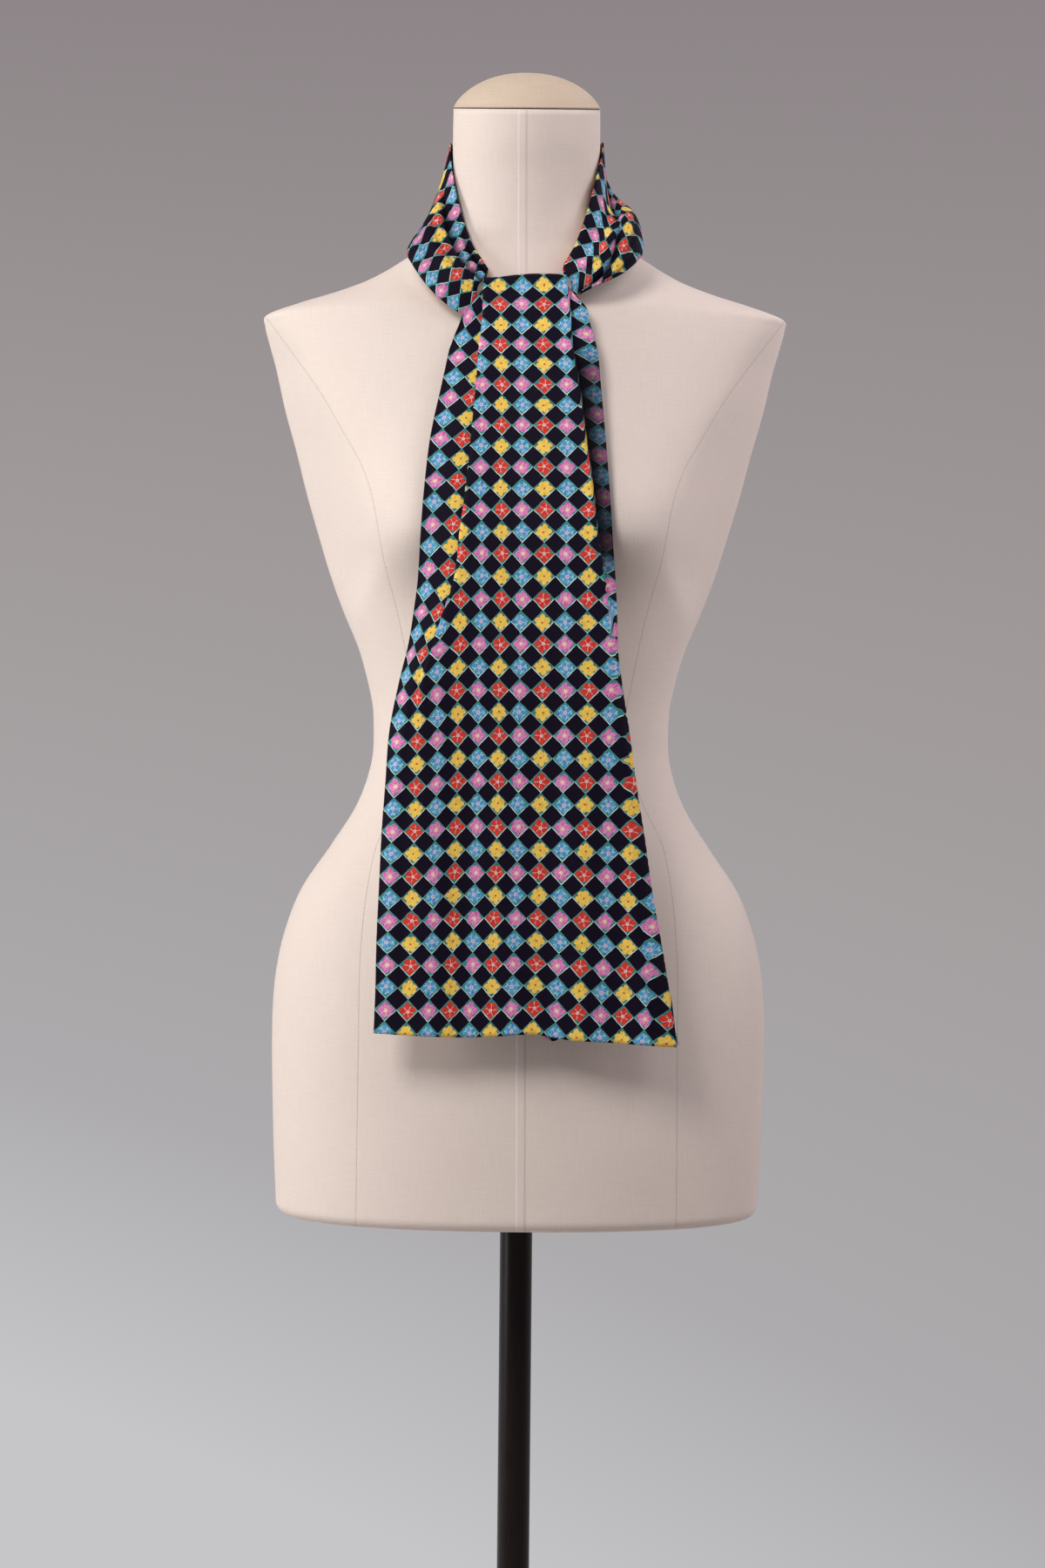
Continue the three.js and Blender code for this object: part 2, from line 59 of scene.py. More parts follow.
ARMHOLE = {"turn": 0.54, "beyond": 2, "edge": 6, "furthest": 30}
ARMHOLE_TURNS = {"rise": (1130, 1225), "fall": (1416, 1436)}
ARMHOLE_CUTS = {"rise": (1114, 1170), "fall": (1422, 1450)}
NECK_SEAM = 1570.5
NECK_TILT = math.radians(12)
NECK_TILTS_FROM = 1481
SEAM_DRIFT = 0.0078
CAP_HEIGHT = 27
CAP_GAP = 0.5
CAP_CURVE = {"across": 2.2, "up": 0.72}
POLE = {"radius": 12.5, "foot": 9.3, "top": 717.7, "edge": 0.5}
THROAT_TOP = 1432
ROLL_RADIUS = 7
ROLL_LEAST = 0.6
TURN_RADIUS = 2.2
HEM = 866
HEM_SAG = {"from": 20, "over": 95, "drop": 7.2, "power": 1.2, "ends": (900, 1100)}


# Numbers and tables
def smooth(value, low, high):
    share = np.clip((np.asarray(value, float) - low) / (high - low), 0, 1)
    return share * share * (3 - 2 * share)


def mix(a, b, share):
    return a + (b - a) * share


def join(*parts):
    """Arrays side by side, along a new last axis."""
    return np.stack(parts, -1)


def soft_less(a, b, blend):
    return (a + b - np.hypot(a - b, blend)) / 2


def hump(value, middle, width):
    return np.exp(-(((value - middle) / width) ** 2))


def window(value, rise, fall):
    """0, then 1 after its rise, then 0 again after its fall."""
    return smooth(value, *rise) * (1 - smooth(value, *fall))


def levels(spans, last):
    """Heights in spans of start, stop and step, and a last one."""
    return np.concatenate([*(np.arange(*span) for span in spans), [last]])


class Rows:
    """A table with named columns whose first column rises, read smoothly between its rows."""

    def __init__(self, names, rows):
        self.columns = dict(zip(names.split(), np.array(rows, float).T))
        self.place = next(iter(self.columns.values()))

    def at(self, name, place):
        places, values = self.place, self.columns[name]
        last = len(places) - 1
        number = np.arange(last + 1)
        before, after = np.maximum(number - 1, 0), np.minimum(number + 1, last)
        slope = (values[after] - values[before]) / (places[after] - places[before])
        place = np.clip(np.asarray(place, float), places[0], places[-1])
        i = np.clip(np.searchsorted(places, place, side="right") - 1, 0, last - 1)
        gap = places[i + 1] - places[i]
        t = (place - places[i]) / gap
        return (
            values[i] * (1 + 2 * t) * (1 - t) ** 2
            + slope[i] * gap * t * (1 - t) ** 2
            + values[i + 1] * t * t * (3 - 2 * t)
            - slope[i + 1] * gap * t * t * (1 - t)
        )

    def row(self, place):
        return SimpleNamespace(**{name: float(self.at(name, place)) for name in self.columns})

    def rows(self):
        return [SimpleNamespace(**dict(zip(self.columns, row))) for row in zip(*self.columns.values())]


def lengths(points):
    """Distance along a line of points, 0 at its first point."""
    steps = np.linalg.norm(np.diff(points, axis=0), axis=1)
    return np.concatenate([[0], np.cumsum(steps)])


# Meshes
def quads(rows, columns, closed=False):
    i, k = np.meshgrid(np.arange(rows - 1), np.arange(columns if closed else columns - 1), indexing="ij")
    far = (k + 1) % columns
    corners = [i * columns + k, i * columns + far, (i + 1) * columns + far, (i + 1) * columns + k]
    return np.stack(corners, -1).reshape(-1, 4)


def quad_uv(uv):
    """The corners' UV, face by face, in the order of quads()."""
    corners = [uv[:-1, :-1], uv[:-1, 1:], uv[1:, 1:], uv[1:, :-1]]
    return np.stack(corners, 2).reshape(-1, 4, 2)


def placed(name, data):
    """A new object in the scene."""
    thing = bpy.data.objects.new(name, data)
    bpy.context.scene.collection.objects.link(thing)
    return thing


def make_piece(name, points, faces, corner_uv, nodes, caps=(), values=None):
    """A closed mesh of quads, faces x 4, and of flat caps, with its faces turned outwards."""
    fans = [join(cap[:-2] * 0 + cap[0], cap[1:-1], cap[2:]) for cap in caps]
    corners = np.concatenate([faces[:, [0, 1, 2]], faces[:, [0, 2, 3]], *fans])
    a, b, c = (points[corners[:, n]] for n in range(3))
    if (a * np.cross(b, c)).sum() < 0:
        faces, corner_uv, caps = faces[:, ::-1], corner_uv[:, ::-1], [cap[::-1] for cap in caps]
    sizes = np.array([4] * len(faces) + [len(cap) for cap in caps])
    mesh = bpy.data.meshes.new(name)
    mesh.vertices.add(len(points))
    mesh.vertices.foreach_set("co", (points * MM).astype(np.float32).ravel())
    mesh.loops.add(int(sizes.sum()))
    mesh.loops.foreach_set("vertex_index", np.concatenate([faces.ravel(), *caps]).astype(np.int32))
    mesh.polygons.add(len(sizes))
    mesh.polygons.foreach_set("loop_start", (np.cumsum(sizes) - sizes).astype(np.int32))
    mesh.polygons.foreach_set("use_smooth", sizes == 4)
    uv = np.zeros((int(sizes.sum()), 2), np.float32)
    uv[: faces.size] = corner_uv.reshape(-1, 2)
    mesh.uv_layers.new(name="cloth").data.foreach_set("uv", uv.ravel())
    for key, numbers in (values or {}).items():
        attribute = mesh.attributes.new(key, "FLOAT", "POINT")
        attribute.data.foreach_set("value", np.asarray(numbers, np.float32).ravel())
    mesh.update(calc_edges=True)
    piece = placed(name, mesh)
    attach(piece, "root")
    if nodes:
        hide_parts(*nodes)
    return piece


def ring_piece(name, rings, uv, nodes, values=None):
    """A closed piece through rings of points, with a flat cap on both ends."""
    rows, columns = rings.shape[:2]
    first = np.arange(columns)
    caps = [first[::-1], first + (rows - 1) * columns]
    faces = quads(rows, columns, closed=True)
    return make_piece(name, rings.reshape(-1, 3), faces, quad_uv(uv), nodes, caps, values)


def normals(grid):
    across = np.cross(np.gradient(grid, axis=0), np.gradient(grid, axis=1))
    return across / (np.linalg.norm(across, axis=2, keepdims=True) + 1e-9)


def hemmed(shape, rows=(), columns=()):
    """The wall at each point of a cloth's grid, thicker along the rows and columns of its hems."""
    wall = np.full(shape, SILK_WALL)
    wall[list(rows)] = HEM_WALL
    wall[:, list(columns)] = HEM_WALL
    return wall


def cloth_piece(name, grid, uv, wall, nodes, shade=None):
    """A closed thin shell on a grid of middle points, with a wall and a depth of shade for each point."""
    rows, columns = grid.shape[:2]
    half = normals(grid) * (wall / 2)[..., None]
    points = np.concatenate([(grid + half).reshape(-1, 3), (grid - half).reshape(-1, 3)])
    number = np.arange(rows * columns).reshape(rows, columns)
    rim = np.concatenate([number[0, :-1], number[:-1, -1], number[-1, :0:-1], number[:0:-1, 0]])
    far = np.roll(rim, -1)
    front, corner = quads(rows, columns), quad_uv(uv)
    side = join(far, rim, rim + number.size, far + number.size)
    flat = uv.reshape(-1, 2)
    side_uv = np.stack([flat[far], flat[rim], flat[rim], flat[far]], 1)
    faces = np.concatenate([front, (front + number.size)[:, ::-1], side])
    corners = np.concatenate([corner, corner[:, ::-1], side_uv])
    shade = np.zeros(grid.shape[:2]) if shade is None else shade
    values = {"shade": np.concatenate([shade.ravel(), shade.ravel()])}
    return make_piece(name, points, faces, corners, nodes, values=values)


# The least and the most that one side of a triangle counts for while a net is laid flat
WEIGHT_LIMITS = (0.02, 20)


def unrolled(grid, guess, rows=44, columns=22, rounds=30):
    """Flat places of a curved cloth's points: a coarse net of them is laid flat with its lengths kept."""
    pick_i = np.linspace(0, grid.shape[0] - 1, rows).round().astype(int)
    pick_k = np.linspace(0, grid.shape[1] - 1, columns).round().astype(int)
    points = grid[pick_i][:, pick_k].reshape(-1, 3)
    flat = guess[pick_i][:, pick_k].reshape(-1, 2)
    net = quads(rows, columns)
    net = np.concatenate([net[:, [0, 1, 2]], net[:, [0, 2, 3]]])
    a, b, c = (points[net[:, n]] for n in range(3))
    base = np.linalg.norm(b - a, axis=1)
    across = ((c - a) * (b - a)).sum(1) / base
    rise = np.linalg.norm(np.cross(b - a, c - a), axis=1) / base
    fa, fb, fc = (flat[net[:, n]] for n in range(3))
    turned = np.sign(((fb - fa)[:, 0] * (fc - fa)[:, 1] - (fb - fa)[:, 1] * (fc - fa)[:, 0]).sum())
    zero = np.zeros_like(base)
    shape = join(zero, zero, base, zero, across, rise * turned).reshape(-1, 3, 2)
    sides = [(1, 2, 0), (2, 0, 1), (0, 1, 2)]
    pull = np.zeros((len(points), len(points)))
    weights = []
    for i, j, k in sides:
        p, q = shape[:, i] - shape[:, k], shape[:, j] - shape[:, k]
        weight = np.clip((p * q).sum(1) / np.abs(p[:, 0] * q[:, 1] - p[:, 1] * q[:, 0]), *WEIGHT_LIMITS)
        weights.append(weight)
        for m, n, sign in ((i, i, 1), (j, j, 1), (i, j, -1), (j, i, -1)):
            np.add.at(pull, (net[:, m], net[:, n]), sign * weight)
    inverse = np.linalg.inv(pull + np.full_like(pull, 1e-3))
    for _ in range(rounds):
        spin = np.zeros((len(net), 2))
        for (i, j, _k), weight in zip(sides, weights):
            p, q = shape[:, i] - shape[:, j], flat[net[:, i]] - flat[net[:, j]]
            spin[:, 0] += weight * (p * q).sum(1)
            spin[:, 1] += weight * (p[:, 0] * q[:, 1] - p[:, 1] * q[:, 0])
        spin /= np.linalg.norm(spin, axis=1, keepdims=True)
        wanted = np.zeros_like(flat)
        for (i, j, _k), weight in zip(sides, weights):
            p = shape[:, i] - shape[:, j]
            turned_side = np.stack([
                p[:, 0] * spin[:, 0] - p[:, 1] * spin[:, 1], p[:, 0] * spin[:, 1] + p[:, 1] * spin[:, 0]
            ], -1) * weight[:, None]
            np.add.at(wanted, net[:, i], turned_side)
            np.add.at(wanted, net[:, j], -turned_side)
        flat = inverse @ wanted
    flat = flat.reshape(rows, columns, 2)
    wide = np.stack([
        [np.interp(np.arange(grid.shape[1]), pick_k, line[:, axis]) for line in flat] for axis in range(2)
    ], -1)
    return np.stack([
        [np.interp(np.arange(grid.shape[0]), pick_i, wide[:, k, axis]) for k in range(grid.shape[1])]
        for axis in range(2)
    ], -1).transpose(1, 0, 2)


# Dress form
FORM_ROWS = Rows("z half middle front back round", [
    [727, 186, 0, -124, 112, 2.3],
    [782, 188.5, 0, -127, 114, 2.3],
    [863, 190, 0, -128, 116, 2.3],
    [903, 187.5, 0, -126, 115, 2.3],
    [936, 180.5, 0, -122, 112, 2.3],
    [968, 168, 0, -116, 106, 2.25],
    [1000, 146.5, 0, -108, 98, 2.2],
    [1033, 126, 0, -99, 89, 2.15],
    [1065, 115.5, 0, -94, 82, 2.1],
    [1090, 114, 0, -92, 79, 2.1],
    [1114, 116, 2, -93, 79, 2.1],
    [1146, 125.6, 6, -96, 82, 2.1],
    [1179, 140, 12, -99, 86, 2.1],
    [1211, 152, 18, -102, 90, 2.1],
    [1243, 162, 22, -104, 93, 2.1],
    [1275, 171.5, 24, -104, 95, 2.1],
    [1308, 180, 25, -101, 96, 2.1],
    [1340, 189, 25, -90, 97, 2.1],
    [1373, 196.5, 24, -77, 96, 2.05],
    [1389, 201, 22, -70, 93, 2.0],
    [1405, 205, 20, -63.5, 89, 1.9],
    [1413, 204, 19, -60.5, 86, 1.8],
    [1421.6, 181, 19, -57.5, 82, 1.7],
    [1429.7, 153, 18, -55, 78, 1.65],
    [1437.8, 129, 17, -53, 74, 1.7],
    [1446, 111, 15, -51, 70, 1.75],
    [1454, 97, 12, -49.5, 66, 1.8],
    [1462, 84, 9, -48.5, 63, 1.85],
    [1471, 71, 7, -48.5, 61, 1.95],
    [1481, 62, 5.5, -49, 59.5, 2],
    [1495, 57.8, 4, -50.5, 58.5, 2],
    [1520, 57, 1, -54, 55.5, 2],
    [1545, 57, -3, -59, 52, 2],
    [NECK_SEAM, 56.7, -6, -63, 50, 2],
])
PRINCESS_ROWS = Rows("z x", [
    [718, 119], [857, 118], [930, 117], [1000, 108], [1040, 90], [1090, 78], [1120, 82],
    [1175, 93], [1213, 103], [1232, 106.6], [1260, 112], [1286, 121], [1313, 136], [1345, 154.7],
    [1378, 178], [1400, 194], [1412, 203],
])
FORM_COLUMNS = 256
SIDE_ANGLE = math.pi / 2
FORM_LEVELS = [(727, 1380, 4.0), (1381, 1481, 1.6), (1482, 1568, 4.0)]


def form_ring(z, inset=0.0):
    """One level ring of the form."""
    row = FORM_ROWS.row(z)
    power = 2 / row.round
    lean = float(math.tan(NECK_TILT) * smooth(z, NECK_TILTS_FROM, NECK_SEAM))
    angle = SIDE_ANGLE + 2 * math.pi * (np.arange(FORM_COLUMNS) + 0.5) / FORM_COLUMNS
    cos, sin = np.cos(angle), np.sin(angle)
    front, back, middle = row.front, row.back, row.middle
    depth = np.where(sin < 0, middle - front - inset, back - middle - inset)
    x = (row.half - inset) * np.abs(cos) ** power
    y = middle + np.sign(sin) * depth * np.abs(sin) ** power
    turn = ARMHOLE["turn"] * float(window(z, **ARMHOLE_TURNS))
    plate = row.half + ARMHOLE["beyond"] - turn * np.maximum(middle - y, -ARMHOLE["furthest"])
    x = mix(x, soft_less(x, plate, ARMHOLE["edge"]), float(window(z, **ARMHOLE_CUTS)))
    tall = BUST["above"] if z > BUST["height"] else BUST["below"]
    off = ((x - BUST["side"]) / BUST["wide"]) ** 2 + ((z - BUST["height"]) / tall) ** 2
    y = np.where(sin < 0, y - BUST["rise"] * np.exp(-off / 2) * np.minimum(1, -3 * sin), y)
    return join(np.sign(cos) * x, y, z + (y - middle) * lean)


def ring_uv(rings, heights):
    """UV in millimetres: round the ring from its first point, and its height."""
    rows = []
    for ring, height in zip(rings, heights):
        along = lengths(np.concatenate([ring, ring[:1]]))
        rows.append(join(along - along[-1] / 2, np.full(len(along), height)))
    return np.array(rows)


def form_body():
    rings = []
    for angle in np.linspace(0, math.pi / 2, 8)[:-1]:
        ring = form_ring(FORM_BOTTOM + BOTTOM_ROUND, BOTTOM_ROUND * (1 - math.sin(angle)))
        ring[:, 2] = FORM_BOTTOM + BOTTOM_ROUND * (1 - math.cos(angle))
        rings.append(ring)
    rings = np.array([*rings, *(form_ring(z) for z in levels(FORM_LEVELS, NECK_SEAM))])
    uv = ring_uv(rings, rings[:, :, 2].mean(1))
    x, y, z = rings[..., 0], rings[..., 1], rings[..., 2]
    values = {
        "mid": x + SEAM_DRIFT * (z - FORM_BOTTOM),
        "princess": np.abs(x) - PRINCESS_ROWS.at("x", z),
        "side": y - FORM_ROWS.at("middle", z),
    }
    return ring_piece("form_linen_body", rings, uv, ["form_body"], values)


NECK_RING = form_ring(NECK_SEAM)
NECK_MIDDLE = np.array([0, FORM_ROWS.row(NECK_SEAM).middle, NECK_SEAM])
NECK_UP = np.array([0, -math.sin(NECK_TILT), math.cos(NECK_TILT)])


def cap_rings(shares_rises):
    return np.array([mix(NECK_MIDDLE, NECK_RING, share) + NECK_UP * rise for share, rise in shares_rises])


def neck_cap():
    rings = [(0.972, CAP_GAP), (0.992, CAP_GAP + 0.4), (1, CAP_GAP + 1.6)]
    edge_rise = rings[-1][1]
    for share in [0.998, 0.99, 0.975, 0.95, 0.92, 0.88, 0.83, 0.77, 0.7, 0.62, 0.53, 0.43, 0.32, 0.2, 0.08]:
        rise = CAP_GAP + CAP_HEIGHT * (1 - share ** CAP_CURVE["across"]) ** CAP_CURVE["up"]
        if rise > edge_rise:
            rings.append((share, rise))
    rings = cap_rings(rings)
    return ring_piece("cap_dome", rings, ring_uv(rings, rings[:, :, 2].mean(1)), ["neck_cap"])


def joint_band():
    """The dark joint line between the neck and its cap."""
    inner, outer = 0.5, 0.988
    low, high = 0.05, CAP_GAP - 0.05
    rings = cap_rings([(inner, low), (outer, low), (outer, high), (inner, high)])
    return ring_piece("cap_joint_line", rings, ring_uv(rings, [0, 1, 2, 3]), [])


# Stand. The base's section, from its underside over its boss to its bore: radius, height, corner radius.
BASE_SECTION = [
    (0, 0, 0), (175, 0, 1), (175, 8, 3.2), (41, 9.2, 8), (33, 13, 5), (22, 34, 4), (19.2, 38, 1.5),
    (12.8, 38, 0.6), (12.8, 9, 0), (0, 9, 0),
]


def lathe(name, profile, nodes, columns=128):
    angle = 2 * math.pi * np.arange(columns) / columns
    rings = np.array([
        join(radius * np.cos(angle), radius * np.sin(angle), np.full(columns, float(height)))
        for radius, height in profile
    ])
    return ring_piece(name, rings, ring_uv(rings, [height for _, height in profile]), nodes)


def rounded(points, steps=6):
    """A section of radius, height and corner radius as a line of points, with its corners rounded."""
    line = []
    for i, (r, z, corner) in enumerate(points):
        here = np.array([r, z], float)
        if not corner:
            line.append(here)
            continue
        before = np.array(points[i - 1][:2], float) - here
        after = np.array(points[i + 1][:2], float) - here
        a = here + before / np.linalg.norm(before) * corner
        b = here + after / np.linalg.norm(after) * corner
        for t in np.linspace(0, 1, steps):
            line.append((1 - t) ** 2 * a + 2 * t * (1 - t) * here + t * t * b)
    return line


def stand():
    radius, foot, top, edge = (POLE[key] for key in ("radius", "foot", "top", "edge"))
    tube = [(0, foot, 0), (radius, foot, edge), (radius, top, edge), (0, top, 0)]
    pole = lathe("stand_pole", rounded(tube)[1:-1], ["pole"], 96)
    base = lathe("stand_base", rounded(BASE_SECTION)[1:-1], ["base_plate"], 192)
    return [pole, base]


# Front end of the cravat: its edges and folds for each height, as in the solid.
APRON_NAMES = "z depth left left_fold left_lap right_fold right_lap right turn_back step left_back right_back"
APRON_ROWS = Rows(APRON_NAMES, [
    [866, -160, -104.5, -72.5, -14, 96, -3, 115, 1.5, 0.5, 6, 4],
    [898, -160, -103.5, -73, -14, 92.5, -3, 111, 5.5, 0.5, 6, 4],
    [935, -160, -103, -73, -14, 88.5, -3, 104.5, 14, 0.5, 6, 5],
    [973, -160, -101.5, -73.5, -14, 84, -3, 97, 20.5, 0.5, 7, 5],
    [1011, -160, -100, -74, -14, 80, -3, 91, 27, 0.5, 7, 5],
    [1049, -160, -97.5, -73, -14, 76, -3, 84.5, 33, 0.5, 8, 5],
    [1087, -160, -95, -72, -10, 72, -3, 79, 39, 0.8, 9, 4],
    [1124, -160, -88, -70.5, -4, 66.5, -3, 73, 45, 1.2, 9, 4],
    [1150, -159, -82, -64.5, 2, 64.5, -2, 70, 47, 1.8, 10, 4],
    [1175, -157, -78.5, -55.5, 6, 63, 1, 69.5, 48, 2.6, 10, 5],
    [1198, -155, -76, -48, 9.5, 59.5, 3, 68.5, 48, 3, 10, 8],
    [1231, -151, -74.5, -44.5, 12.5, 54, 3.5, 66, 48, 3, 8, 10],
    [1265, -143, -72.5, -40.5, 15, 50, 4.5, 63.5, 48, 3, 4, 8],
    [1305, -131, -68.5, -37, 18, 44.5, 5.5, 60.5, 48, 3, 5, 11],
    [1345, -117, -61, -34, 22, 39.5, 7.5, 57, 46, 3, 7, 12],
    [1372, -105, -56, -32.5, 25, 35, 9, 54.5, 36, 3, 7, 9],
    [1398, -91, -52, -30, 26, 33, 10, 48.5, 20, 3, 4, 5],
    [1411, -84, -49.5, -30, 27, 32, 10, 46, 8, 3, 3, 3],
    [1425, -76, -47, -30, 27, 30.5, 10, 37, 2, 3, 3, 2],
])
# Columns of the print, counted across the cloth, at each feature, and the rows of the print going down.
PRINT_ROWS = Rows("z left_shown left_u middle_x right_u turn_u down left_slip right_slip", [
    [866, 2.56, 2.56, -5.3, 13.33, 14.33, 34.18, 0.1, 0],
    [898, 2.4, 2.4, -4.4, 12.98, 14.0, 32.25, 0.12, 0],
    [935, 2.3, 2.3, -3.5, 12.61, 13.53, 30.01, 0.16, 0],
    [973, 2.25, 2.25, -2.2, 12.3, 13.1, 27.71, 0.2, 0],
    [1011, 2.15, 2.15, -1.7, 11.98, 12.65, 25.41, 0.24, 0],
    [1049, 2.15, 2.15, -1.4, 11.76, 12.28, 23.12, 0.3, 0],
    [1087, 2.2, 2.2, -1.3, 11.47, 11.9, 20.82, 0.35, 0],
    [1124, 2.4, 2.4, -1.2, 11.06, 11.45, 18.58, 0.4, 0],
    [1150, 2.5, 2.65, -0.9, 11.03, 11.37, 17.01, 0.5, 0.68],
    [1175, 2.42, 3.25, -0.7, 10.97, 11.37, 15.49, 0.6, 0.68],
    [1198, 2.44, 3.75, -0.2, 10.7, 11.37, 14.1, 0.64, 0.68],
    [1231, 2.38, 4.0, -0.4, 10.38, 11.37, 12.09, 0.64, 0.68],
    [1265, 2.5, 4.42, -0.8, 10.08, 11.37, 9.98, 0.62, 0.68],
    [1305, 2.42, 4.6, -1.2, 9.8, 11.37, 7.46, 0.62, 0.68],
    [1327.8, 2.35, 4.72, -1.4, 9.62, 11.37, 6, 0.62, 0.68],
    [1343.7, 2.26, 4.8, -1.6, 9.5, 11.37, 5, 0.6, 0.68],
    [1359.8, 2.2, 4.9, -1.8, 9.4, 11.37, 4, 0.6, 0.68],
    [1375.2, 2.12, 5.05, -2.0, 9.3, 11.37, 3, 0.6, 0.68],
    [1390.8, 2.1, 5.15, -2.1, 9.22, 11.37, 2, 0.6, 0.66],
    [1407.5, 2.1, 5.3, -2.2, 9.12, 11.37, 1, 0.55, 0.6],
    [1422.4, 2.1, 5.4, -2.3, 9.05, 11.37, 0, 0.5, 0.6],
    [1425, 2.1, 5.4, -2.3, 9.05, 11.37, -0.16, 0.5, 0.6],
])
CLOTH_FROM, CLOTH_TO, CLOTH_MIDDLE = 0.5, 14.5, 7
APRON_COLUMNS = 176
APRON_THROAT = 1425
APRON_LEVELS = [(HEM, 1150, 3.0), (1151, 1424, 2.6)]
ROLL_FOOT = 1372
ROLL_SWEEP = {"middle": 150, "sides": 80, "over": 5}
ROLL_CREST = {"rise": 1.2, "at": 14, "wide": 20, "left_drop": 2.4, "left_over": 28}
FLAT_TOP = {"left": -30, "right": 31, "left_fall": 1.5, "right_fall": 1.3}
LAP_FOLDS_AT = 3
TURN_PER_RADIAN = 4
TAIL_CLOSES = {"from": 4, "over": 0.55}
PLEATS_FOLD = (1150, 1198)
PLEAT_EDGE = 0.12
PLEAT_BACK = 0.2
LEFT_LAP_FOLDS = (-1, 3)
RIGHT_SLIPS_FROM = 1158
LEFT_SLIP_COLUMNS = (1.8, 4.6)
PLEAT_SHADE = {"fold": 0.975, "low_edge": 0.9, "high_edge": 0.6, "rises": (1225, 1290), "fades": (0.25, 0.95)}
PLEAT_SHADE_HEIGHTS = {"rise": (1190, 1222), "fall": (1352, 1388)}


def fold_line(valley, mountain, step, side):
    """From the valley, behind, to the mountain, in front: three layers while they lap, else a slope."""
    lap = side * (valley - mountain)
    folded = float(smooth(lap, 0, LAP_FOLDS_AT))
    arc = np.linspace(-math.pi / 2, math.pi / 2, 9)
    bulge = step / 2
    layers = [(valley + side * bulge * math.cos(a), step * 1.5 - bulge * math.sin(a)) for a in arc]
    layers += [(mix(valley, mountain, share), step) for share in np.linspace(0, 1, 7)[1:-1]]
    layers += [(mountain - side * bulge * math.cos(a), step * 0.5 - bulge * math.sin(a)) for a in arc]
    points = np.array(layers)
    share = np.linspace(0, 1, len(points))
    slope = join(mix(valley, mountain, share), 2 * step * (1 - smooth(share, 0, 1)))
    return mix(slope, points, folded)


def turn_line(row):
    """The arc of the turned right edge, and the tail of cloth behind it."""
    angle = min(math.pi, row.turn_back / TURN_PER_RADIAN)
    rest = max(row.turn_back - TURN_RADIUS * angle, 0.5)
    reach = TURN_RADIUS
    if angle < math.pi / 2:
        reach = TURN_RADIUS * math.sin(angle) + rest * math.cos(angle)
    back = 2 * row.step + row.right_back
    parts = angle * np.linspace(0, 1, 9)
    arc_x = row.right - reach + TURN_RADIUS * np.sin(parts)
    arc = join(arc_x, back + TURN_RADIUS * (1 - np.cos(parts)))
    shares = np.linspace(0, 1, 13)[1:, None]
    tail = arc[-1] + shares * rest * np.array([math.cos(angle), math.sin(angle)])
    closed = max(row.right_back - TAIL_CLOSES["from"], 0)
    tail[:, 1] -= closed * smooth(shares[:, 0], 0, TAIL_CLOSES["over"])
    return arc, tail


def pleat_middle(mark):
    """The print's column at the valley of the right pleat."""
    return max((mark.right_u + mark.turn_u) / 2 - PLEAT_BACK, mark.right_u)


def apron_section(z):
    """One level of the apron, evenly spaced over its cloth: x, distance behind the front, print column."""
    row = APRON_ROWS.row(z)
    mark = PRINT_ROWS.row(z)
    deep = 2 * row.step
    left_valley = row.left_fold + row.left_lap
    right_valley = row.right_fold - row.right_lap
    share = np.linspace(0, 1, 12)
    left = join(mix(row.left, left_valley, share), deep + row.left_back * (1 - share) ** 2)
    left_fold = fold_line(left_valley, row.left_fold, row.step, 1)
    share = np.linspace(0, 1, 16)
    front_left = join(mix(row.left_fold, mark.middle_x, share), 0 * share)
    front_right = join(mix(mark.middle_x, row.right_fold, share), 0 * share)
    right_fold = fold_line(right_valley, row.right_fold, row.step, -1)[::-1]
    arc, tail = turn_line(row)
    share = np.linspace(0, 1, 8)[1:-1]
    side = join(mix(right_valley, arc[0][0], share), deep + row.right_back * share**2)
    lapped = (mark.left_shown + mark.left_u) / 2
    sloped = mix(CLOTH_FROM, mark.left_u, (left_valley - row.left) / (row.left_fold - row.left))
    left_middle = mix(sloped, lapped, float(smooth(row.left_lap, *LEFT_LAP_FOLDS)))
    right_middle = pleat_middle(mark)
    spans = [
        (left, CLOTH_FROM, left_middle),
        (left_fold, left_middle, mark.left_u),
        (front_left, mark.left_u, CLOTH_MIDDLE),
        (front_right, CLOTH_MIDDLE, mark.right_u),
        (right_fold, mark.right_u, right_middle),
        (np.concatenate([side, arc]), right_middle, mark.turn_u),
        (tail, mark.turn_u, CLOTH_TO),
    ]
    places, columns = [], []
    for points, start, stop in spans:
        along = lengths(points)
        if places:
            along = lengths(np.concatenate([[places[-1][-1]], points]))[1:]
        columns.append(mix(start, stop, along / max(along[-1], 1e-6)))
        places.append(points)
    columns, places = np.concatenate(columns), np.concatenate(places)
    columns = np.maximum.accumulate(columns + np.arange(len(columns)) * 1e-7)
    wanted = np.linspace(CLOTH_FROM, CLOTH_TO, APRON_COLUMNS + 1)
    return np.interp(wanted, columns, places[:, 0]), np.interp(wanted, columns, places[:, 1]), wanted


def apron_slip(z, columns):
    """How many rows the print has slipped down in the pleats beside the middle panel."""
    mark = PRINT_ROWS.row(z)
    folded = float(smooth(z, *PLEATS_FOLD))
    left_low = mix(LEFT_SLIP_COLUMNS[0], mark.left_shown, folded)
    left_high = mix(LEFT_SLIP_COLUMNS[1], mark.left_u, folded)
    left = mark.left_slip * (1 - smooth(columns, left_low, left_high))
    right = mark.right_slip * smooth(columns, mark.right_u, mark.right_u + PLEAT_EDGE)
    return np.where(z > RIGHT_SLIPS_FROM, right, 0) - left


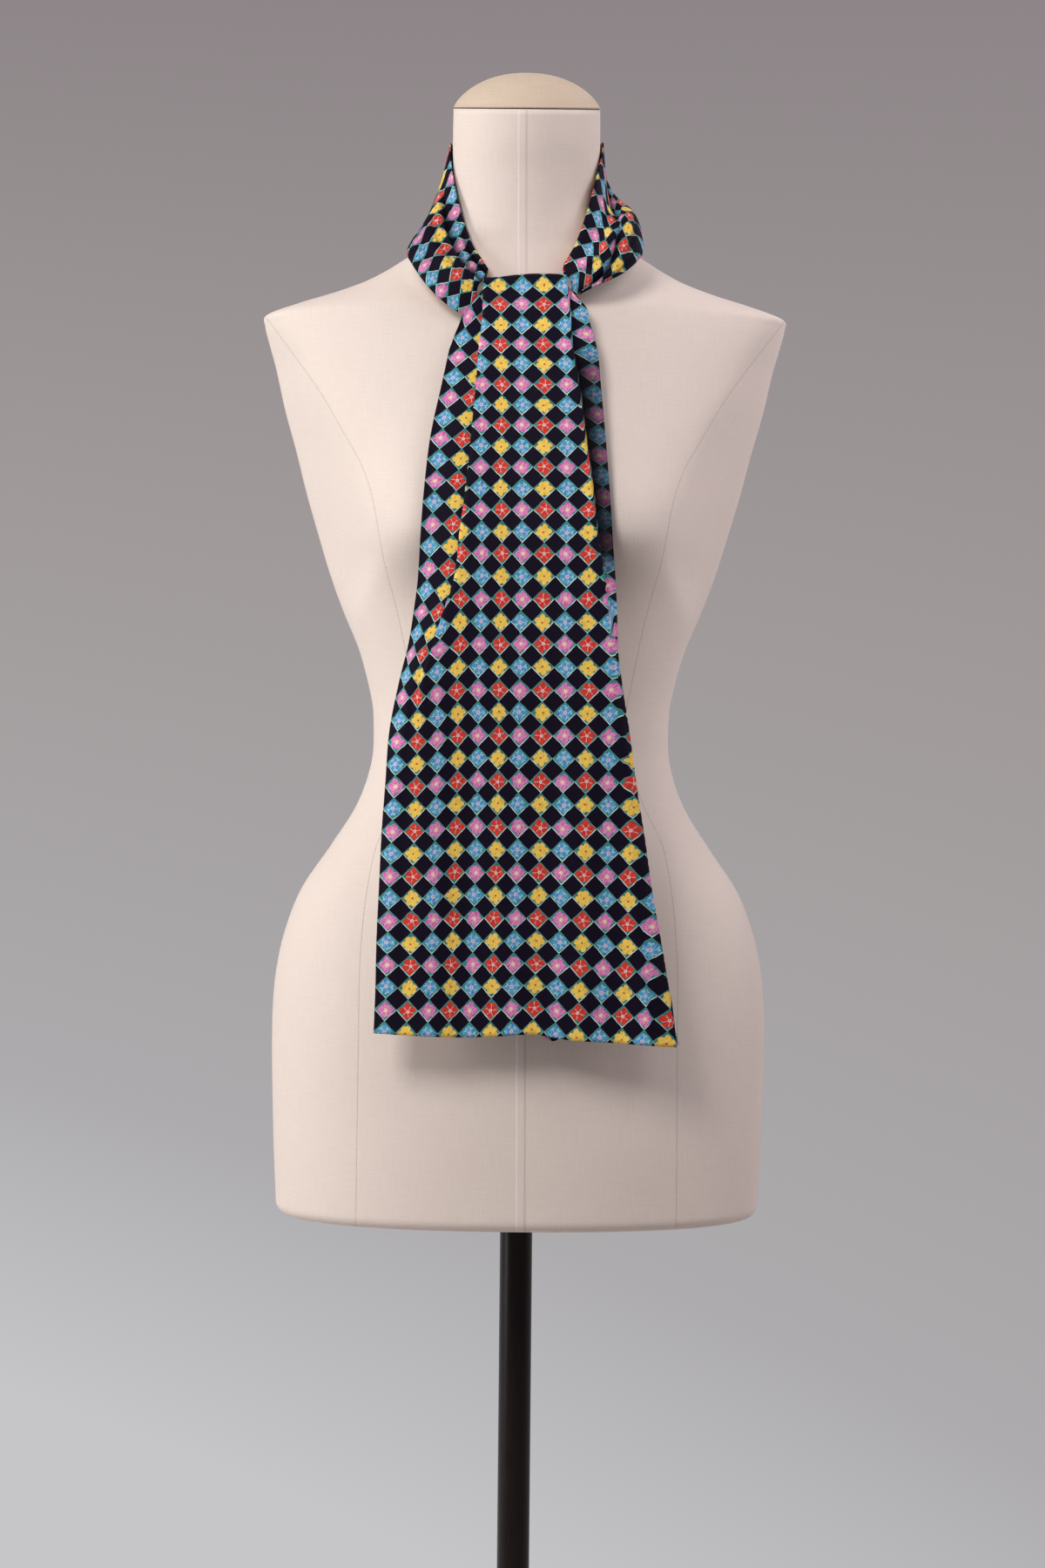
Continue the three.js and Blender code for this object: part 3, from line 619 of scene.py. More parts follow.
def apron_shade(z, columns):
    """How dark the cloth lies in the pleat behind the middle panel's right fold."""
    mark = PRINT_ROWS.row(z)
    fold = pleat_middle(mark)
    away = smooth((columns - fold) / (mark.turn_u - fold), *PLEAT_SHADE["fades"])
    behind = smooth(columns, mark.right_u, mark.right_u + PLEAT_EDGE)
    edge = mix(PLEAT_SHADE["low_edge"], PLEAT_SHADE["high_edge"], smooth(z, *PLEAT_SHADE["rises"]))
    return window(z, **PLEAT_SHADE_HEIGHTS) * behind * mix(PLEAT_SHADE["fold"], edge, away)


def roll_top(x):
    """The height of the roll over the throat."""
    return (
        THROAT_TOP
        + ROLL_CREST["rise"] * hump(x, ROLL_CREST["at"], ROLL_CREST["wide"])
        - ROLL_CREST["left_drop"] * smooth(-x, 0, ROLL_CREST["left_over"])
        - FLAT_TOP["left_fall"] * np.maximum(FLAT_TOP["left"] - x, 0)
        - FLAT_TOP["right_fall"] * np.maximum(x - FLAT_TOP["right"], 0)
    )


def hem_sag(x, z):
    """How far the cloth hangs lower towards its right edge, near the hem."""
    share = np.maximum(x - HEM_SAG["from"], 0) / HEM_SAG["over"]
    return HEM_SAG["drop"] * share ** HEM_SAG["power"] * (1 - smooth(z, *HEM_SAG["ends"]))


HEM_WAVES = Rows("x drop", [
    [-110, -1], [-70, 0.3], [-43, 1], [-15, 0], [10, -1.6], [24, 0], [38, 1.3], [60, 1], [90, 0.3],
    [116, 0],
])
HEM_WAVES_END = 960
APRON_WAVES = Rows("x low high", [
    [-110, 0, 0], [-88, -1.5, 0], [-64, 1.5, 0], [-40, -0.8, 0.3], [-12, 0.6, -0.4], [18, -0.9, 0.3],
    [46, 1.0, 0], [72, -1.2, 0], [96, 0.8, 0], [115, 0, 0],
])
APRON_WAVES_CHANGE = (980, 1230)


def roll_row(share, section, centre):
    """Points and print of one row on the roll, from its front at 0 to its end behind at 1."""
    x, back, columns = section
    radius = np.maximum(ROLL_RADIUS - back, ROLL_LEAST)
    behind = np.maximum(back - (ROLL_RADIUS - ROLL_LEAST), 0)
    sweep = mix(ROLL_SWEEP["middle"], ROLL_SWEEP["sides"], smooth(back, 0, ROLL_SWEEP["over"]))
    angle = np.radians(sweep) * share
    y = APRON_ROWS.at("depth", centre) + ROLL_RADIUS + behind - radius * np.cos(angle)
    down = PRINT_ROWS.at("down", centre) - ROLL_RADIUS * angle / PITCH + apron_slip(APRON_THROAT, columns)
    return join(x, y, centre + radius * np.sin(angle)), join(columns, down)


def hanging_row(z, centre):
    """Points, print and shade of one row below the roll."""
    level = np.full(len(centre), float(z))
    if z > ROLL_FOOT:
        level = mix(ROLL_FOOT, centre, (z - ROLL_FOOT) / (APRON_THROAT - ROLL_FOOT))
    x, back, columns = apron_section(z)
    high = float(smooth(z, *APRON_WAVES_CHANGE))
    wave = mix(APRON_WAVES.at("low", x), APRON_WAVES.at("high", x), high)
    drop = hem_sag(x, z) + HEM_WAVES.at("drop", x) * (1 - float(smooth(z, HEM, HEM_WAVES_END)))
    y = APRON_ROWS.at("depth", level) + back - wave
    down = PRINT_ROWS.at("down", level) + apron_slip(z, columns)
    return join(x, y, level - drop), join(columns, down), apron_shade(z, columns)


def front_apron():
    section = apron_section(APRON_THROAT)
    centre = roll_top(section[0]) - ROLL_RADIUS
    rows, marks, shades = [], [], []
    for share in np.linspace(1, 0, 12)[:-1]:
        points, mark = roll_row(share, section, centre)
        rows.append(points)
        marks.append(mark)
        shades.append(np.zeros(len(centre)))
    for z in levels(APRON_LEVELS, APRON_THROAT)[::-1]:
        points, mark, shade = hanging_row(z, centre)
        rows.append(points)
        marks.append(mark)
        shades.append(shade)
    grid = np.array(rows)
    wall = hemmed(grid.shape[:2], rows=(-2, -1), columns=(0, 1, -2, -1))
    piece = cloth_piece("silk_front_end", grid, np.array(marks), wall, ["front_apron"], np.array(shades))
    return piece


# Wraps round the neck: six places on each section, going round from the left of the throat by the nape
PLACES = ["in", "top", "crease", "puff", "out", "tuck"]
WRAP_NAMES = "angle in_r in_z top_r top_z crease_r crease_z puff_r puff_z out_r out_z tuck_r tuck_z"
WRAP_ROWS = Rows(WRAP_NAMES, [
    [27, 66, 1430, 69.5, 1437, 73, 1432, 79, 1422, 81, 1400, 76, 1405],
    [34, 62.5, 1440, 65.5, 1449, 72, 1443, 84, 1434, 88, 1403, 79, 1410],
    [42, 61, 1452, 63, 1462, 69, 1456, 87, 1448, 96, 1414, 82, 1418],
    [50, 60, 1466, 61, 1475, 66, 1469, 88, 1462, 100, 1428, 84, 1430],
    [61, 60, 1483, 60, 1495, 65, 1488, 84, 1478, 101, 1447, 86, 1446],
    [75, 61, 1492, 59.4, 1520, 64, 1508, 76, 1489, 93, 1457, 82, 1460],
    [90, 61.5, 1495, 59.2, 1542.5, 63.5, 1524, 72, 1497, 89, 1463, 79, 1467.4],
    [105, 62, 1496, 59, 1547, 64, 1529, 72.5, 1501, 88, 1463.5, 78, 1468.6],
    [125, 62.5, 1493, 58.2, 1550, 64.5, 1533, 75, 1504, 90, 1460, 78, 1465],
    [150, 63, 1489, 57, 1550.5, 64, 1534, 75, 1504, 89, 1456, 78, 1461],
    [180, 63, 1488, 56.2, 1550.5, 63, 1534, 74, 1503, 88, 1454, 78, 1460],
    [210, 63, 1489, 57, 1550.5, 64, 1533, 74, 1504, 88, 1456, 78, 1461],
    [235, 62.5, 1493, 58.2, 1550, 64, 1532, 72, 1504, 88, 1460, 78, 1465],
    [255, 62, 1496, 59, 1547.5, 63, 1527, 70, 1500, 89, 1462.5, 77.5, 1468.6],
    [270, 61.5, 1495, 59.2, 1546, 65, 1509, 79, 1496, 90, 1464, 78, 1468],
    [285, 61, 1493, 59.4, 1530, 67.5, 1493, 84.5, 1489, 93, 1460, 81, 1461],
    [299, 60, 1488, 60, 1508, 69, 1483, 88, 1480, 99, 1449, 84, 1448],
    [310, 60, 1472, 61, 1485, 71, 1467, 89, 1465, 98, 1437, 83, 1435],
    [318, 61, 1458, 63, 1470, 73, 1455, 88, 1450, 94, 1430, 81, 1427],
    [326, 62.5, 1443, 66, 1454, 75, 1444, 81, 1439, 85, 1423, 77, 1420],
    [333, 65.5, 1432, 69, 1441, 72, 1433, 75.5, 1428, 76.5, 1416, 71, 1415],
])
# Soft creases along the wrap: where they start and end, their place across it, width, depth and shade.
WRAP_CREASES = Rows("start stop from_share to_share width depth shade", [
    [-10, 88, 0.53, 0.44, 0.03, 4.2, 0.85],
    [-20, 60, 0.36, 0.34, 0.05, 2.4, 0.9],
    [30, 66, 0.62, 0.58, 0.022, 1.3, 0.35],
    [33, 95, 0.72, 0.62, 0.03, 1.6, 0.25],
    [60, 150, 0.72, 0.66, 0.04, 1.2, 0.2],
    [95, 210, 0.45, 0.52, 0.035, 1.5, 0.3],
    [120, 255, 0.64, 0.74, 0.03, 1.1, 0.2],
    [170, 290, 0.36, 0.42, 0.03, 1.2, 0.2],
    [250, 312, 0.3, 0.56, 0.03, 3.6, 0.7],
    [296, 345, 0.48, 0.98, 0.03, 4.6, 0.9],
    [296, 334, 0.72, 0.84, 0.02, 1.8, 0.5],
    [300, 336, 0.6, 0.62, 0.02, 1.2, 0.3],
    [280, 316, 0.6, 0.74, 0.018, 1.6, 0.5],
])
# How the right wrap's gathers draw the print together: columns, and the row shifts beside them.
RIGHT_GATHERS = Rows("across column shift", [
    [-2.6, -2.4, 0.75], [-1.2, -1, 0.75], [-0.55, 0, -0.27], [-0.1, 0.9, -0.1], [0.35, 2, 0],
    [1.67, 3, 0], [3.2, 4.5, 0],
])
RIGHT_GATHERS_RISE = (3.5, 7)
LEFT_GATHERS = {"rise": (3, 7), "column": -1, "back": 0.75, "back_rise": (11.5, 14.4)}
LEFT_LEAN = {"row": 0.36, "per_column": 0.64, "middle": -2, "reach": (-1.5, 2), "throat": 11, "fall": 0.48}
WRAP_FROM, WRAP_TO = 27, 333
WRAP_END = {"over": 13, "turn": 3, "lift": 1.2, "left": 0.85, "right": 0.6}
WRAP_END_SHARES = {"rise": (0, 0.1), "fall": (0.42, 0.6)}
WRAP_COLUMNS = 110
OUTER_COLUMN, MIDDLE_COLUMN = 60, 66
CREASE_FADES = {"rise": (0, 0.3), "fall": (0.65, 1)}
CREASES_SHOW = {"rise": (0.18, 0.3), "fall": (0.85, 0.95)}


def centripetal(points, samples):
    """A centripetal Catmull-Rom curve through each row of points: rows x places x 2."""
    first = 2 * points[:, :1] - points[:, 1:2]
    last = 2 * points[:, -1:] - points[:, -2:-1]
    padded = np.concatenate([first, points, last], axis=1)
    gaps = np.linalg.norm(np.diff(padded, axis=1), axis=2)[..., None] ** 0.5
    spans = points.shape[1] - 1
    t = np.linspace(0, spans, samples)
    span = np.minimum(t.astype(int), spans - 1)
    f = (t - span)[None, :, None]
    p0, p1, p2, p3 = (padded[:, span + n] for n in range(4))
    g0, g1, g2 = (gaps[:, span + n] for n in range(3))
    leave = ((p1 - p0) / g0 - (p2 - p0) / (g0 + g1) + (p2 - p1) / g1) * g1
    arrive = ((p2 - p1) / g1 - (p3 - p1) / (g1 + g2) + (p3 - p2) / g2) * g1
    return (
        p1 * (1 + 2 * f) * (1 - f) ** 2
        + leave * f * (1 - f) ** 2
        + p2 * f * f * (3 - 2 * f)
        - arrive * f * f * (1 - f)
    )


def gathered(uv):
    """The wrap's print as its gathers draw it together, towards the throat on either side."""
    u, v = uv[..., 0], uv[..., 1]
    left = smooth(-v, *LEFT_GATHERS["rise"])
    back = LEFT_GATHERS["back"] * smooth(-v, *LEFT_GATHERS["back_rise"])
    left_u = u + left * (back + LEFT_GATHERS["column"])
    lean = LEFT_LEAN["per_column"] * np.clip(left_u - LEFT_LEAN["middle"], *LEFT_LEAN["reach"])
    fall = LEFT_LEAN["fall"] * np.maximum(-v - LEFT_LEAN["throat"], 0)
    left_v = v + left * (LEFT_LEAN["row"] + lean - fall)
    right = smooth(v, *RIGHT_GATHERS_RISE)
    across = np.clip(u, RIGHT_GATHERS.place[0], RIGHT_GATHERS.place[-1])
    right_u = mix(u, u - across + RIGHT_GATHERS.at("column", across), right)
    right_v = v + right * RIGHT_GATHERS.at("shift", across)
    return join(np.where(v < 0, left_u, right_u), np.where(v < 0, left_v, right_v))


def wrap_surface(angles, share):
    """The wrap without its creases. Its ends lap over the corners of the front end's roll."""
    places = np.array([
        [[WRAP_ROWS.at(name + "_r", a), WRAP_ROWS.at(name + "_z", a)] for name in PLACES] for a in angles
    ])
    section = centripetal(places, WRAP_COLUMNS + 1)
    right_end = smooth(angles, WRAP_TO - WRAP_END["over"], WRAP_TO)
    left_end = 1 - smooth(angles, WRAP_FROM, WRAP_FROM + WRAP_END["over"])
    ends = WRAP_END["right"] * right_end - WRAP_END["left"] * left_end
    lap = ends[:, None] * window(share, **WRAP_END_SHARES)
    turn = np.radians(angles[:, None] + WRAP_END["turn"] * lap)
    r, z = section[..., 0], section[..., 1] + WRAP_END["lift"] * np.abs(lap)
    return join(-np.sin(turn) * r, -np.cos(turn) * r, z)


def wrap_creases(angles, share):
    """How deep the creases are at each point, and how dark."""
    depth = shade = np.zeros((len(angles), share.size))
    for crease in WRAP_CREASES.rows():
        along = (angles - crease.start) / (crease.stop - crease.start)
        place = mix(crease.from_share, crease.to_share, np.clip(along, 0, 1))
        trough = window(along, **CREASE_FADES)[:, None] * hump(share, place[:, None], crease.width)
        depth = depth + crease.depth * trough
        shade = np.maximum(shade, crease.shade * trough)
    shown = window(share, **CREASES_SHOW)
    return depth * shown, shade * shown


def neck_wrap():
    angles = np.linspace(WRAP_FROM, WRAP_TO, 232)
    share = np.linspace(0, 1, WRAP_COLUMNS + 1)[None, :]
    grid = wrap_surface(angles, share)
    depth, shade = wrap_creases(angles, share)
    normal = normals(grid)
    outward = np.sign((normal[:, OUTER_COLUMN, :2] * grid[:, OUTER_COLUMN, :2]).sum(1))[:, None, None]
    grid = grid - normal * outward * depth[..., None]
    across = np.array([lengths(line) for line in grid])
    along = lengths(grid[:, MIDDLE_COLUMN])
    flat = unrolled(grid, np.stack(np.broadcast_arrays(across, along[:, None]), -1))
    nodes = ["neck_wrap_left", "neck_wrap_right", "neck_wrap_back"]
    wall = hemmed(grid.shape[:2], columns=(0, 1))
    piece = cloth_piece("silk_neck_wrap", grid, gathered(flat / PITCH), wall, nodes, shade)
    return piece


# The end that hangs hidden behind the front one
UNDER_ROWS = Rows("z left right left_depth right_depth", [
    [867.5, -70, 117, -154.5, -152],
    [882, -69, 113.5, -154, -149.5],
    [898, -68, 109, -153.5, -147.4],
    [915, -67, 103.5, -153, -145.6],
    [935, -66, 100, -152.5, -146.2],
    [973, -65, 91, -152, -146],
    [1049, -62, 72, -151, -146],
    [1087, -58, 64, -150.5, -146],
    [1124, -55, 56, -149.5, -145],
    [1150, -52, 52, -146, -143],
    [1175, -48, 48, -142.5, -140.5],
    [1198, -44, 44, -139, -137.9],
    [1215, -42, 42, -136.9, -135.9],
    [1231, -40, 40, -134.6, -133.6],
    [1248, -38, 38, -130.5, -130],
    [1265, -36, 36, -126.8, -126.3],
    [1285, -34, 34, -121, -120.5],
    [1305, -33, 33, -114.5, -113.8],
    [1325, -32, 30, -107.1, -106.4],
    [1345, -30, 26, -99.5, -98.5],
    [1372, -27, 18, -89.5, -88.3],
    [1398, -25, 8, -76.5, -76],
    [1422, -24, 6, -61.5, -61.5],
])
UNDER_LEVELS = [(868, 1420, 4.0)]
UNDER_TOP = 1422
UNDER_COLUMNS, UNDER_MIDDLE = 121, 40
UNDER_PRINT = {"column": 1.5, "columns": 11.5, "row": 0.5}
UNDER_WAVE = {"depth": 0.2, "waves": 3}
UNDER_PEEK = {"drop": 5.5, "at": 25, "wide": 7, "ends": (868, 900)}


def under_end():
    share = np.linspace(0, 1, UNDER_COLUMNS)
    wave = UNDER_WAVE["depth"] * np.sin(2 * math.pi * UNDER_WAVE["waves"] * share)
    rows = []
    for z in levels(UNDER_LEVELS, UNDER_TOP)[::-1]:
        row = UNDER_ROWS.row(z)
        x = mix(row.left, row.right, share)
        y = mix(row.left_depth, row.right_depth, share) + wave
        peek = UNDER_PEEK["drop"] * hump(x, UNDER_PEEK["at"], UNDER_PEEK["wide"])
        low = 1 - float(smooth(z, *UNDER_PEEK["ends"]))
        rows.append(join(x, y, z - hem_sag(x, z) - peek * low))
    grid = np.array(rows)
    column = UNDER_PRINT["column"] + share[None, :] * UNDER_PRINT["columns"]
    down = lengths(grid[:, UNDER_MIDDLE])[:, None] / PITCH + UNDER_PRINT["row"]
    uv = np.stack(np.broadcast_arrays(column, down), -1)
    wall = hemmed(grid.shape[:2], rows=(0, 1, -2, -1), columns=(0, -1))
    piece = cloth_piece("silk_under_end", grid, uv, wall, ["under_end"])
    return piece


# Materials
def rgb(red, green, blue):
    """A colour of the screen, 0 to 255, as the linear numbers a shader takes."""
    parts = [value / 255 for value in (red, green, blue)]
    linear = [part / 12.92 if part <= 0.04045 else ((part + 0.055) / 1.055) ** 2.4 for part in parts]
    return (*linear, 1.0)


class Nodes:
    """A tree of shader nodes and short names for the ones used here."""

    def __init__(self, tree):
        self.tree = tree

    def node(self, kind, **settings):
        node = self.tree.nodes.new(kind)
        for key, value in settings.items():
            setattr(node, key, value)
        return node

    def plug(self, socket, value):
        if isinstance(value, bpy.types.NodeSocket):
            self.tree.links.new(value, socket)
        else:
            socket.default_value = value

    def math(self, operation, *values):
        node = self.node("ShaderNodeMath", operation=operation)
        for socket, value in zip(node.inputs, values):
            self.plug(socket, value)
        return node.outputs[0]

    def plus(self, a, b):
        return self.math("ADD", a, b)

    def minus(self, a, b):
        return self.math("SUBTRACT", a, b)

    def times(self, a, b):
        return self.math("MULTIPLY", a, b)

    def step(self, value, low, high, kind="SMOOTHSTEP"):
        node = self.node("ShaderNodeMapRange", interpolation_type=kind)
        for socket, number in zip(node.inputs, (value, low, high, 0.0, 1.0)):
            self.plug(socket, number)
        return node.outputs[0]

    def below(self, value, edge, soft=0.02):
        """1 where value is under the edge, 0 above it, with a soft change."""
        return self.minus(1.0, self.step(value, edge, self.plus(edge, soft)))

    def blend(self, share, a, b):
        node = self.node("ShaderNodeMix", data_type="RGBA")
        self.plug(node.inputs[0], share)
        self.plug(node.inputs[6], a)
        self.plug(node.inputs[7], b)
        return node.outputs[2]

    def vector(self, x, y, z=0.0):
        node = self.node("ShaderNodeCombineXYZ")
        for socket, value in zip(node.inputs, (x, y, z)):
            self.plug(socket, value)
        return node.outputs[0]

    def split(self, vector):
        node = self.node("ShaderNodeSeparateXYZ")
        self.plug(node.inputs[0], vector)
        return node.outputs

    def noise(self, vector, scale, detail=2.0, output="Fac"):
        node = self.node("ShaderNodeTexNoise")
        self.plug(node.inputs["Vector"], vector)
        self.plug(node.inputs["Scale"], scale)
        self.plug(node.inputs["Detail"], detail)
        return node.outputs[output]


class Look(Nodes):
    """One material and the nodes that shade it."""

    def __init__(self, name, roughness, **constants):
        self.material = bpy.data.materials.new(name)
        self.material.use_nodes = True
        super().__init__(self.material.node_tree)
        self.shader = self.tree.nodes["Principled BSDF"]
        self.shader.inputs["Roughness"].default_value = roughness
        for socket, value in constants.items():
            self.shader.inputs[socket.replace("_", " ")].default_value = value

    def cloth_uv(self):
        u, v, _ = self.split(self.node("ShaderNodeUVMap", uv_map="cloth").outputs[0])
        return u, v

    def value(self, name):
        return self.node("ShaderNodeAttribute", attribute_name=name).outputs["Fac"]

    def bump(self, height, distance, strength=1.0):
        node = self.node("ShaderNodeBump")
        self.plug(node.inputs["Height"], height)
        self.plug(node.inputs["Distance"], distance)
        self.plug(node.inputs["Strength"], strength)
        self.plug(self.shader.inputs["Normal"], node.outputs[0])

    def colour(self, value):
        self.plug(self.shader.inputs["Base Color"], value)


TEAL = rgb(2, 136, 134)
LEAF = rgb(16, 104, 84)
LINE_TEAL = rgb(14, 122, 124)
MINT = rgb(214, 238, 226)
NIGHT = rgb(25, 20, 34)
THREAD = rgb(226, 222, 210)
DEEP_SHADE = rgb(6, 4, 10)
RIB_PITCH = 1.3
LINE_FROM, LINE_TO = 0.45, 0.5
HAND_SHIFT = 0.06
FLOWER_SHIFT = 0.09
FLOWER_TURN = 1.3

# Each flower. Brush: where its strokes change, and two colours. Veils: mask, strength, colour.
# Eye: strength, radius, softness, colour. Outline: petals, least size, their reach, and the ground.
FLOWERS = {
    "red": {
        "brush": (0.38, 0.6, (186, 22, 14), (232, 48, 26)),
        "veils": [("gaps", 0.8, (244, 196, 188))],
        "eye": [(0.95, 0.05, 0.04, (246, 226, 222)), (0.8, 0.018, 0.02, (52, 48, 92))],
        "outline": ("five", 0.225, 0.185, "leaf"),
    },
    "pink": {
        "brush": (0.36, 0.64, (196, 70, 150), (232, 138, 200)),
        "veils": [("rays", 0.4, (250, 206, 218)), ("gaps", 0.35, (240, 196, 220))],
        "eye": [(0.9, 0.03, 0.11, (250, 228, 170))],
        "outline": ("five", 0.25, 0.135, "teal"),
    },
    "gold": {
        "brush": (0.3, 0.6, (226, 172, 44), (252, 212, 84)),
        "veils": [("rays", 0.3, (252, 228, 140))],
        "eye": [(0.9, 0.035, 0.025, (176, 44, 24))],
        "outline": ("six", 0.245, 0.145, "leaf"),
    },
    "blue": {
        "brush": (0.34, 0.62, (24, 104, 172), (84, 172, 214)),
        "veils": [("rims", 0.75, (190, 228, 232)), ("rays", 0.3, (150, 208, 224))],
        "eye": [(0.9, 0.06, 0.05, (228, 206, 220)), (0.8, 0.024, 0.025, (206, 100, 140))],
        "outline": ("five", 0.25, 0.125, "teal"),
    },
}


def unsteady(look, place, chance, reach):
    """A place moved by up to half the reach either way."""
    return look.plus(place, look.times(look.minus(chance, 0.5), reach))


def petals(look, heading, count):
    """1 along the middle of each petal, 0 between two of them."""
    return look.math("ABSOLUTE", look.math("COSINE", look.times(heading, count / 2)))


def flower(look, kind, marks):
    """One flower's colours over its whole diamond, with the ground outside its petals."""
    low, high, dark, light = kind["brush"]
    colour = look.blend(look.step(marks["brush"], low, high), rgb(*dark), rgb(*light))
    for mask, strength, veil in kind["veils"]:
        colour = look.blend(look.times(marks[mask], strength), colour, rgb(*veil))
    for strength, radius, soft, eye in kind["eye"]:
        colour = look.blend(look.times(look.below(marks["far"], radius, soft), strength), colour, rgb(*eye))
    shape, least, reach, ground = kind["outline"]
    edge = look.plus(least, look.times(look.math("POWER", marks[shape], 0.55), reach))
    return look.blend(look.below(marks["square"], edge, 0.015), marks[ground], colour)


def silk_look():
    """Diamonds with a small flower in each, and plain dark diamonds between them, on fine twill."""
    look = Look("silk_twill_print", 0.5, Specular_IOR_Level=0.03)
    u, v = look.cloth_uv()
    cloth = look.vector(u, v)
    hand_u, hand_v, _ = look.split(look.noise(cloth, 4.0, output="Color"))
    u, v = unsteady(look, u, hand_u, HAND_SHIFT), unsteady(look, v, hand_v, HAND_SHIFT)
    cell_u, cell_v = look.math("ROUND", u), look.math("ROUND", v)
    off_u, off_v = look.minus(u, cell_u), look.minus(v, cell_v)
    out = look.plus(look.math("ABSOLUTE", off_u), look.math("ABSOLUTE", off_v))
    odd_u, odd_v = look.math("PINGPONG", cell_u, 1.0), look.math("PINGPONG", cell_v, 1.0)

    dice = look.node("ShaderNodeTexWhiteNoise", noise_dimensions="2D")
    look.plug(dice.inputs["Vector"], look.vector(look.plus(cell_u, 0.3), look.plus(cell_v, 0.3)))
    chance_u, chance_v, chance_turn = look.split(dice.outputs["Color"])
    from_u = unsteady(look, off_u, chance_u, FLOWER_SHIFT)
    from_v = unsteady(look, off_v, chance_v, FLOWER_SHIFT)
    far = look.math("SQRT", look.plus(look.times(from_u, from_u), look.times(from_v, from_v)))
    heading = look.plus(look.math("ARCTAN2", from_v, from_u), look.times(chance_turn, FLOWER_TURN))
    five = petals(look, heading, 5)
    slant, steep = look.plus(u, look.times(v, 0.6)), look.minus(v, look.times(u, 0.6))
    brush = look.noise(look.vector(look.times(slant, 5.0), steep), 3.2)
    square = look.plus(look.times(far, 0.6), look.times(out, 0.4))
    strokes = look.step(look.math("COSINE", look.times(heading, 13.0)), 0.2, 0.9)
    gaps = look.times(look.below(five, 0.1, 0.2), look.step(far, 0.04, 0.1))
    rim = look.times(look.step(square, 0.2, 0.3), look.below(five, 0.5, 0.3))
    marks = {
        "brush": brush,
        "far": far,
        "square": square,
        "five": five,
        "six": petals(look, heading, 6),
        "gaps": gaps,
        "rays": look.times(strokes, look.below(far, 0.2, 0.12)),
        "rims": look.math("MAXIMUM", gaps, rim),
        "teal": TEAL,
        "leaf": look.blend(look.step(brush, 0.42, 0.56), TEAL, LEAF),
    }
    red, pink, gold, blue = (flower(look, FLOWERS[key], marks) for key in ("red", "pink", "gold", "blue"))
    blooms = look.blend(odd_u, look.blend(odd_v, gold, red), look.blend(odd_v, blue, pink))

    worn = look.plus(look.times(look.step(look.noise(cloth, 1.6), 0.36, 0.62), 0.6), 0.4)
    lower = look.plus(look.times(look.step(off_v, -0.08, 0.1), 0.9), 0.1)
    line = look.blend(look.times(lower, worn), LINE_TEAL, MINT)
    shown = look.blend(look.below(out, LINE_FROM, 0.012), line, blooms)
    shown = look.blend(look.step(out, LINE_TO, LINE_TO + 0.015), shown, NIGHT)
    rib = look.math("SINE", look.times(slant, 2 * math.pi * PITCH / RIB_PITCH))
    lit = look.times(look.plus(rib, 1.0), look.times(look.below(out, LINE_TO), 0.045))
    shown = look.blend(lit, shown, THREAD)
    look.colour(look.blend(look.value("shade"), shown, DEEP_SHADE))
    look.bump(rib, 0.00006, 0.4)
    return look.material


def linen_look(name, base, shade, seams=()):
    """Plain-woven linen with faint slubs. Seams are lines of stitches, the middle one a raised tape with a
    painted highlight on its crest and painted shade on its far side.
    """
    look = Look(name, 0.86, Sheen_Weight=0.15, Sheen_Roughness=0.5, Specular_IOR_Level=0.25)
    u, v = look.cloth_uv()
    warp = look.noise(look.vector(look.times(u, 1.6), look.times(v, 0.05)), 1.0, 3.0)
    weft = look.noise(look.vector(look.times(u, 0.05), look.times(v, 1.6)), 1.0, 3.0)
    slub = look.plus(warp, weft)
    tone = look.blend(look.step(slub, 0.7, 1.3), shade, base)
    cloud = look.noise(look.vector(u, v), 0.012)
    tone = look.blend(look.times(cloud, 0.12), tone, rgb(214, 190, 170))
    height = look.times(slub, 0.5)
    for key in (key for key in seams if key != "mid"):
        away = look.math("ABSOLUTE", look.value(key))
        stitches = look.step(look.noise(look.vector(0.0, v), 1.1), 0.42, 0.58)
        line = look.times(look.below(away, 0.15, 0.4), look.plus(stitches, 0.35))
        tone = look.blend(look.times(line, 0.34), tone, rgb(150, 122, 104))
        height = look.minus(height, look.times(line, 0.9))
    if "mid" in seams:
        place = look.value("mid")
        tape = look.times(look.step(place, -0.4, 0.5), look.below(place, 5.6, 1.4))
        # Painted highlight along the tape's lit crest, and painted shade along its far side
        painted_crest_highlight = look.times(look.step(place, -0.4, 0.4), look.below(place, 0.7, 0.8))
        painted_far_side_shade = look.times(look.step(place, 4.6, 6.4), look.below(place, 6.4, 2.0))
        tone = look.blend(look.times(painted_crest_highlight, 0.4), tone, rgb(253, 246, 240))
        tone = look.blend(look.times(painted_far_side_shade, 0.16), tone, rgb(168, 146, 134))
        height = look.plus(height, look.times(tape, 1.1))
    look.colour(tone)
    look.bump(height, 0.0003, 0.5)
    return look.material


def metal_look():
    """Dark brown lacquered steel, satin, with faint brushing."""
    coat = {"Coat_Weight": 0.1, "Coat_Roughness": 0.3}
    look = Look("dark_satin_metal", 0.4, Metallic=0.2, Specular_IOR_Level=0.3, **coat)
    u, v = look.cloth_uv()
    brushed = look.noise(look.vector(look.times(u, 1.5), look.times(v, 0.05)), 1.0)
    look.colour(look.blend(look.step(brushed, 0.3, 0.7), rgb(24, 16, 15), rgb(33, 23, 21)))
    look.plug(look.shader.inputs["Roughness"], look.plus(0.27, look.times(brushed, 0.14)))
    look.bump(brushed, 0.00005, 0.3)
    return look.material


def joint_look():
    look = Look("joint_dark_felt", 0.8)
    u, v = look.cloth_uv()
    fuzz = look.noise(look.vector(u, v), 1.5)
    look.colour(look.blend(fuzz, rgb(52, 34, 24), rgb(84, 58, 42)))
    return look.material


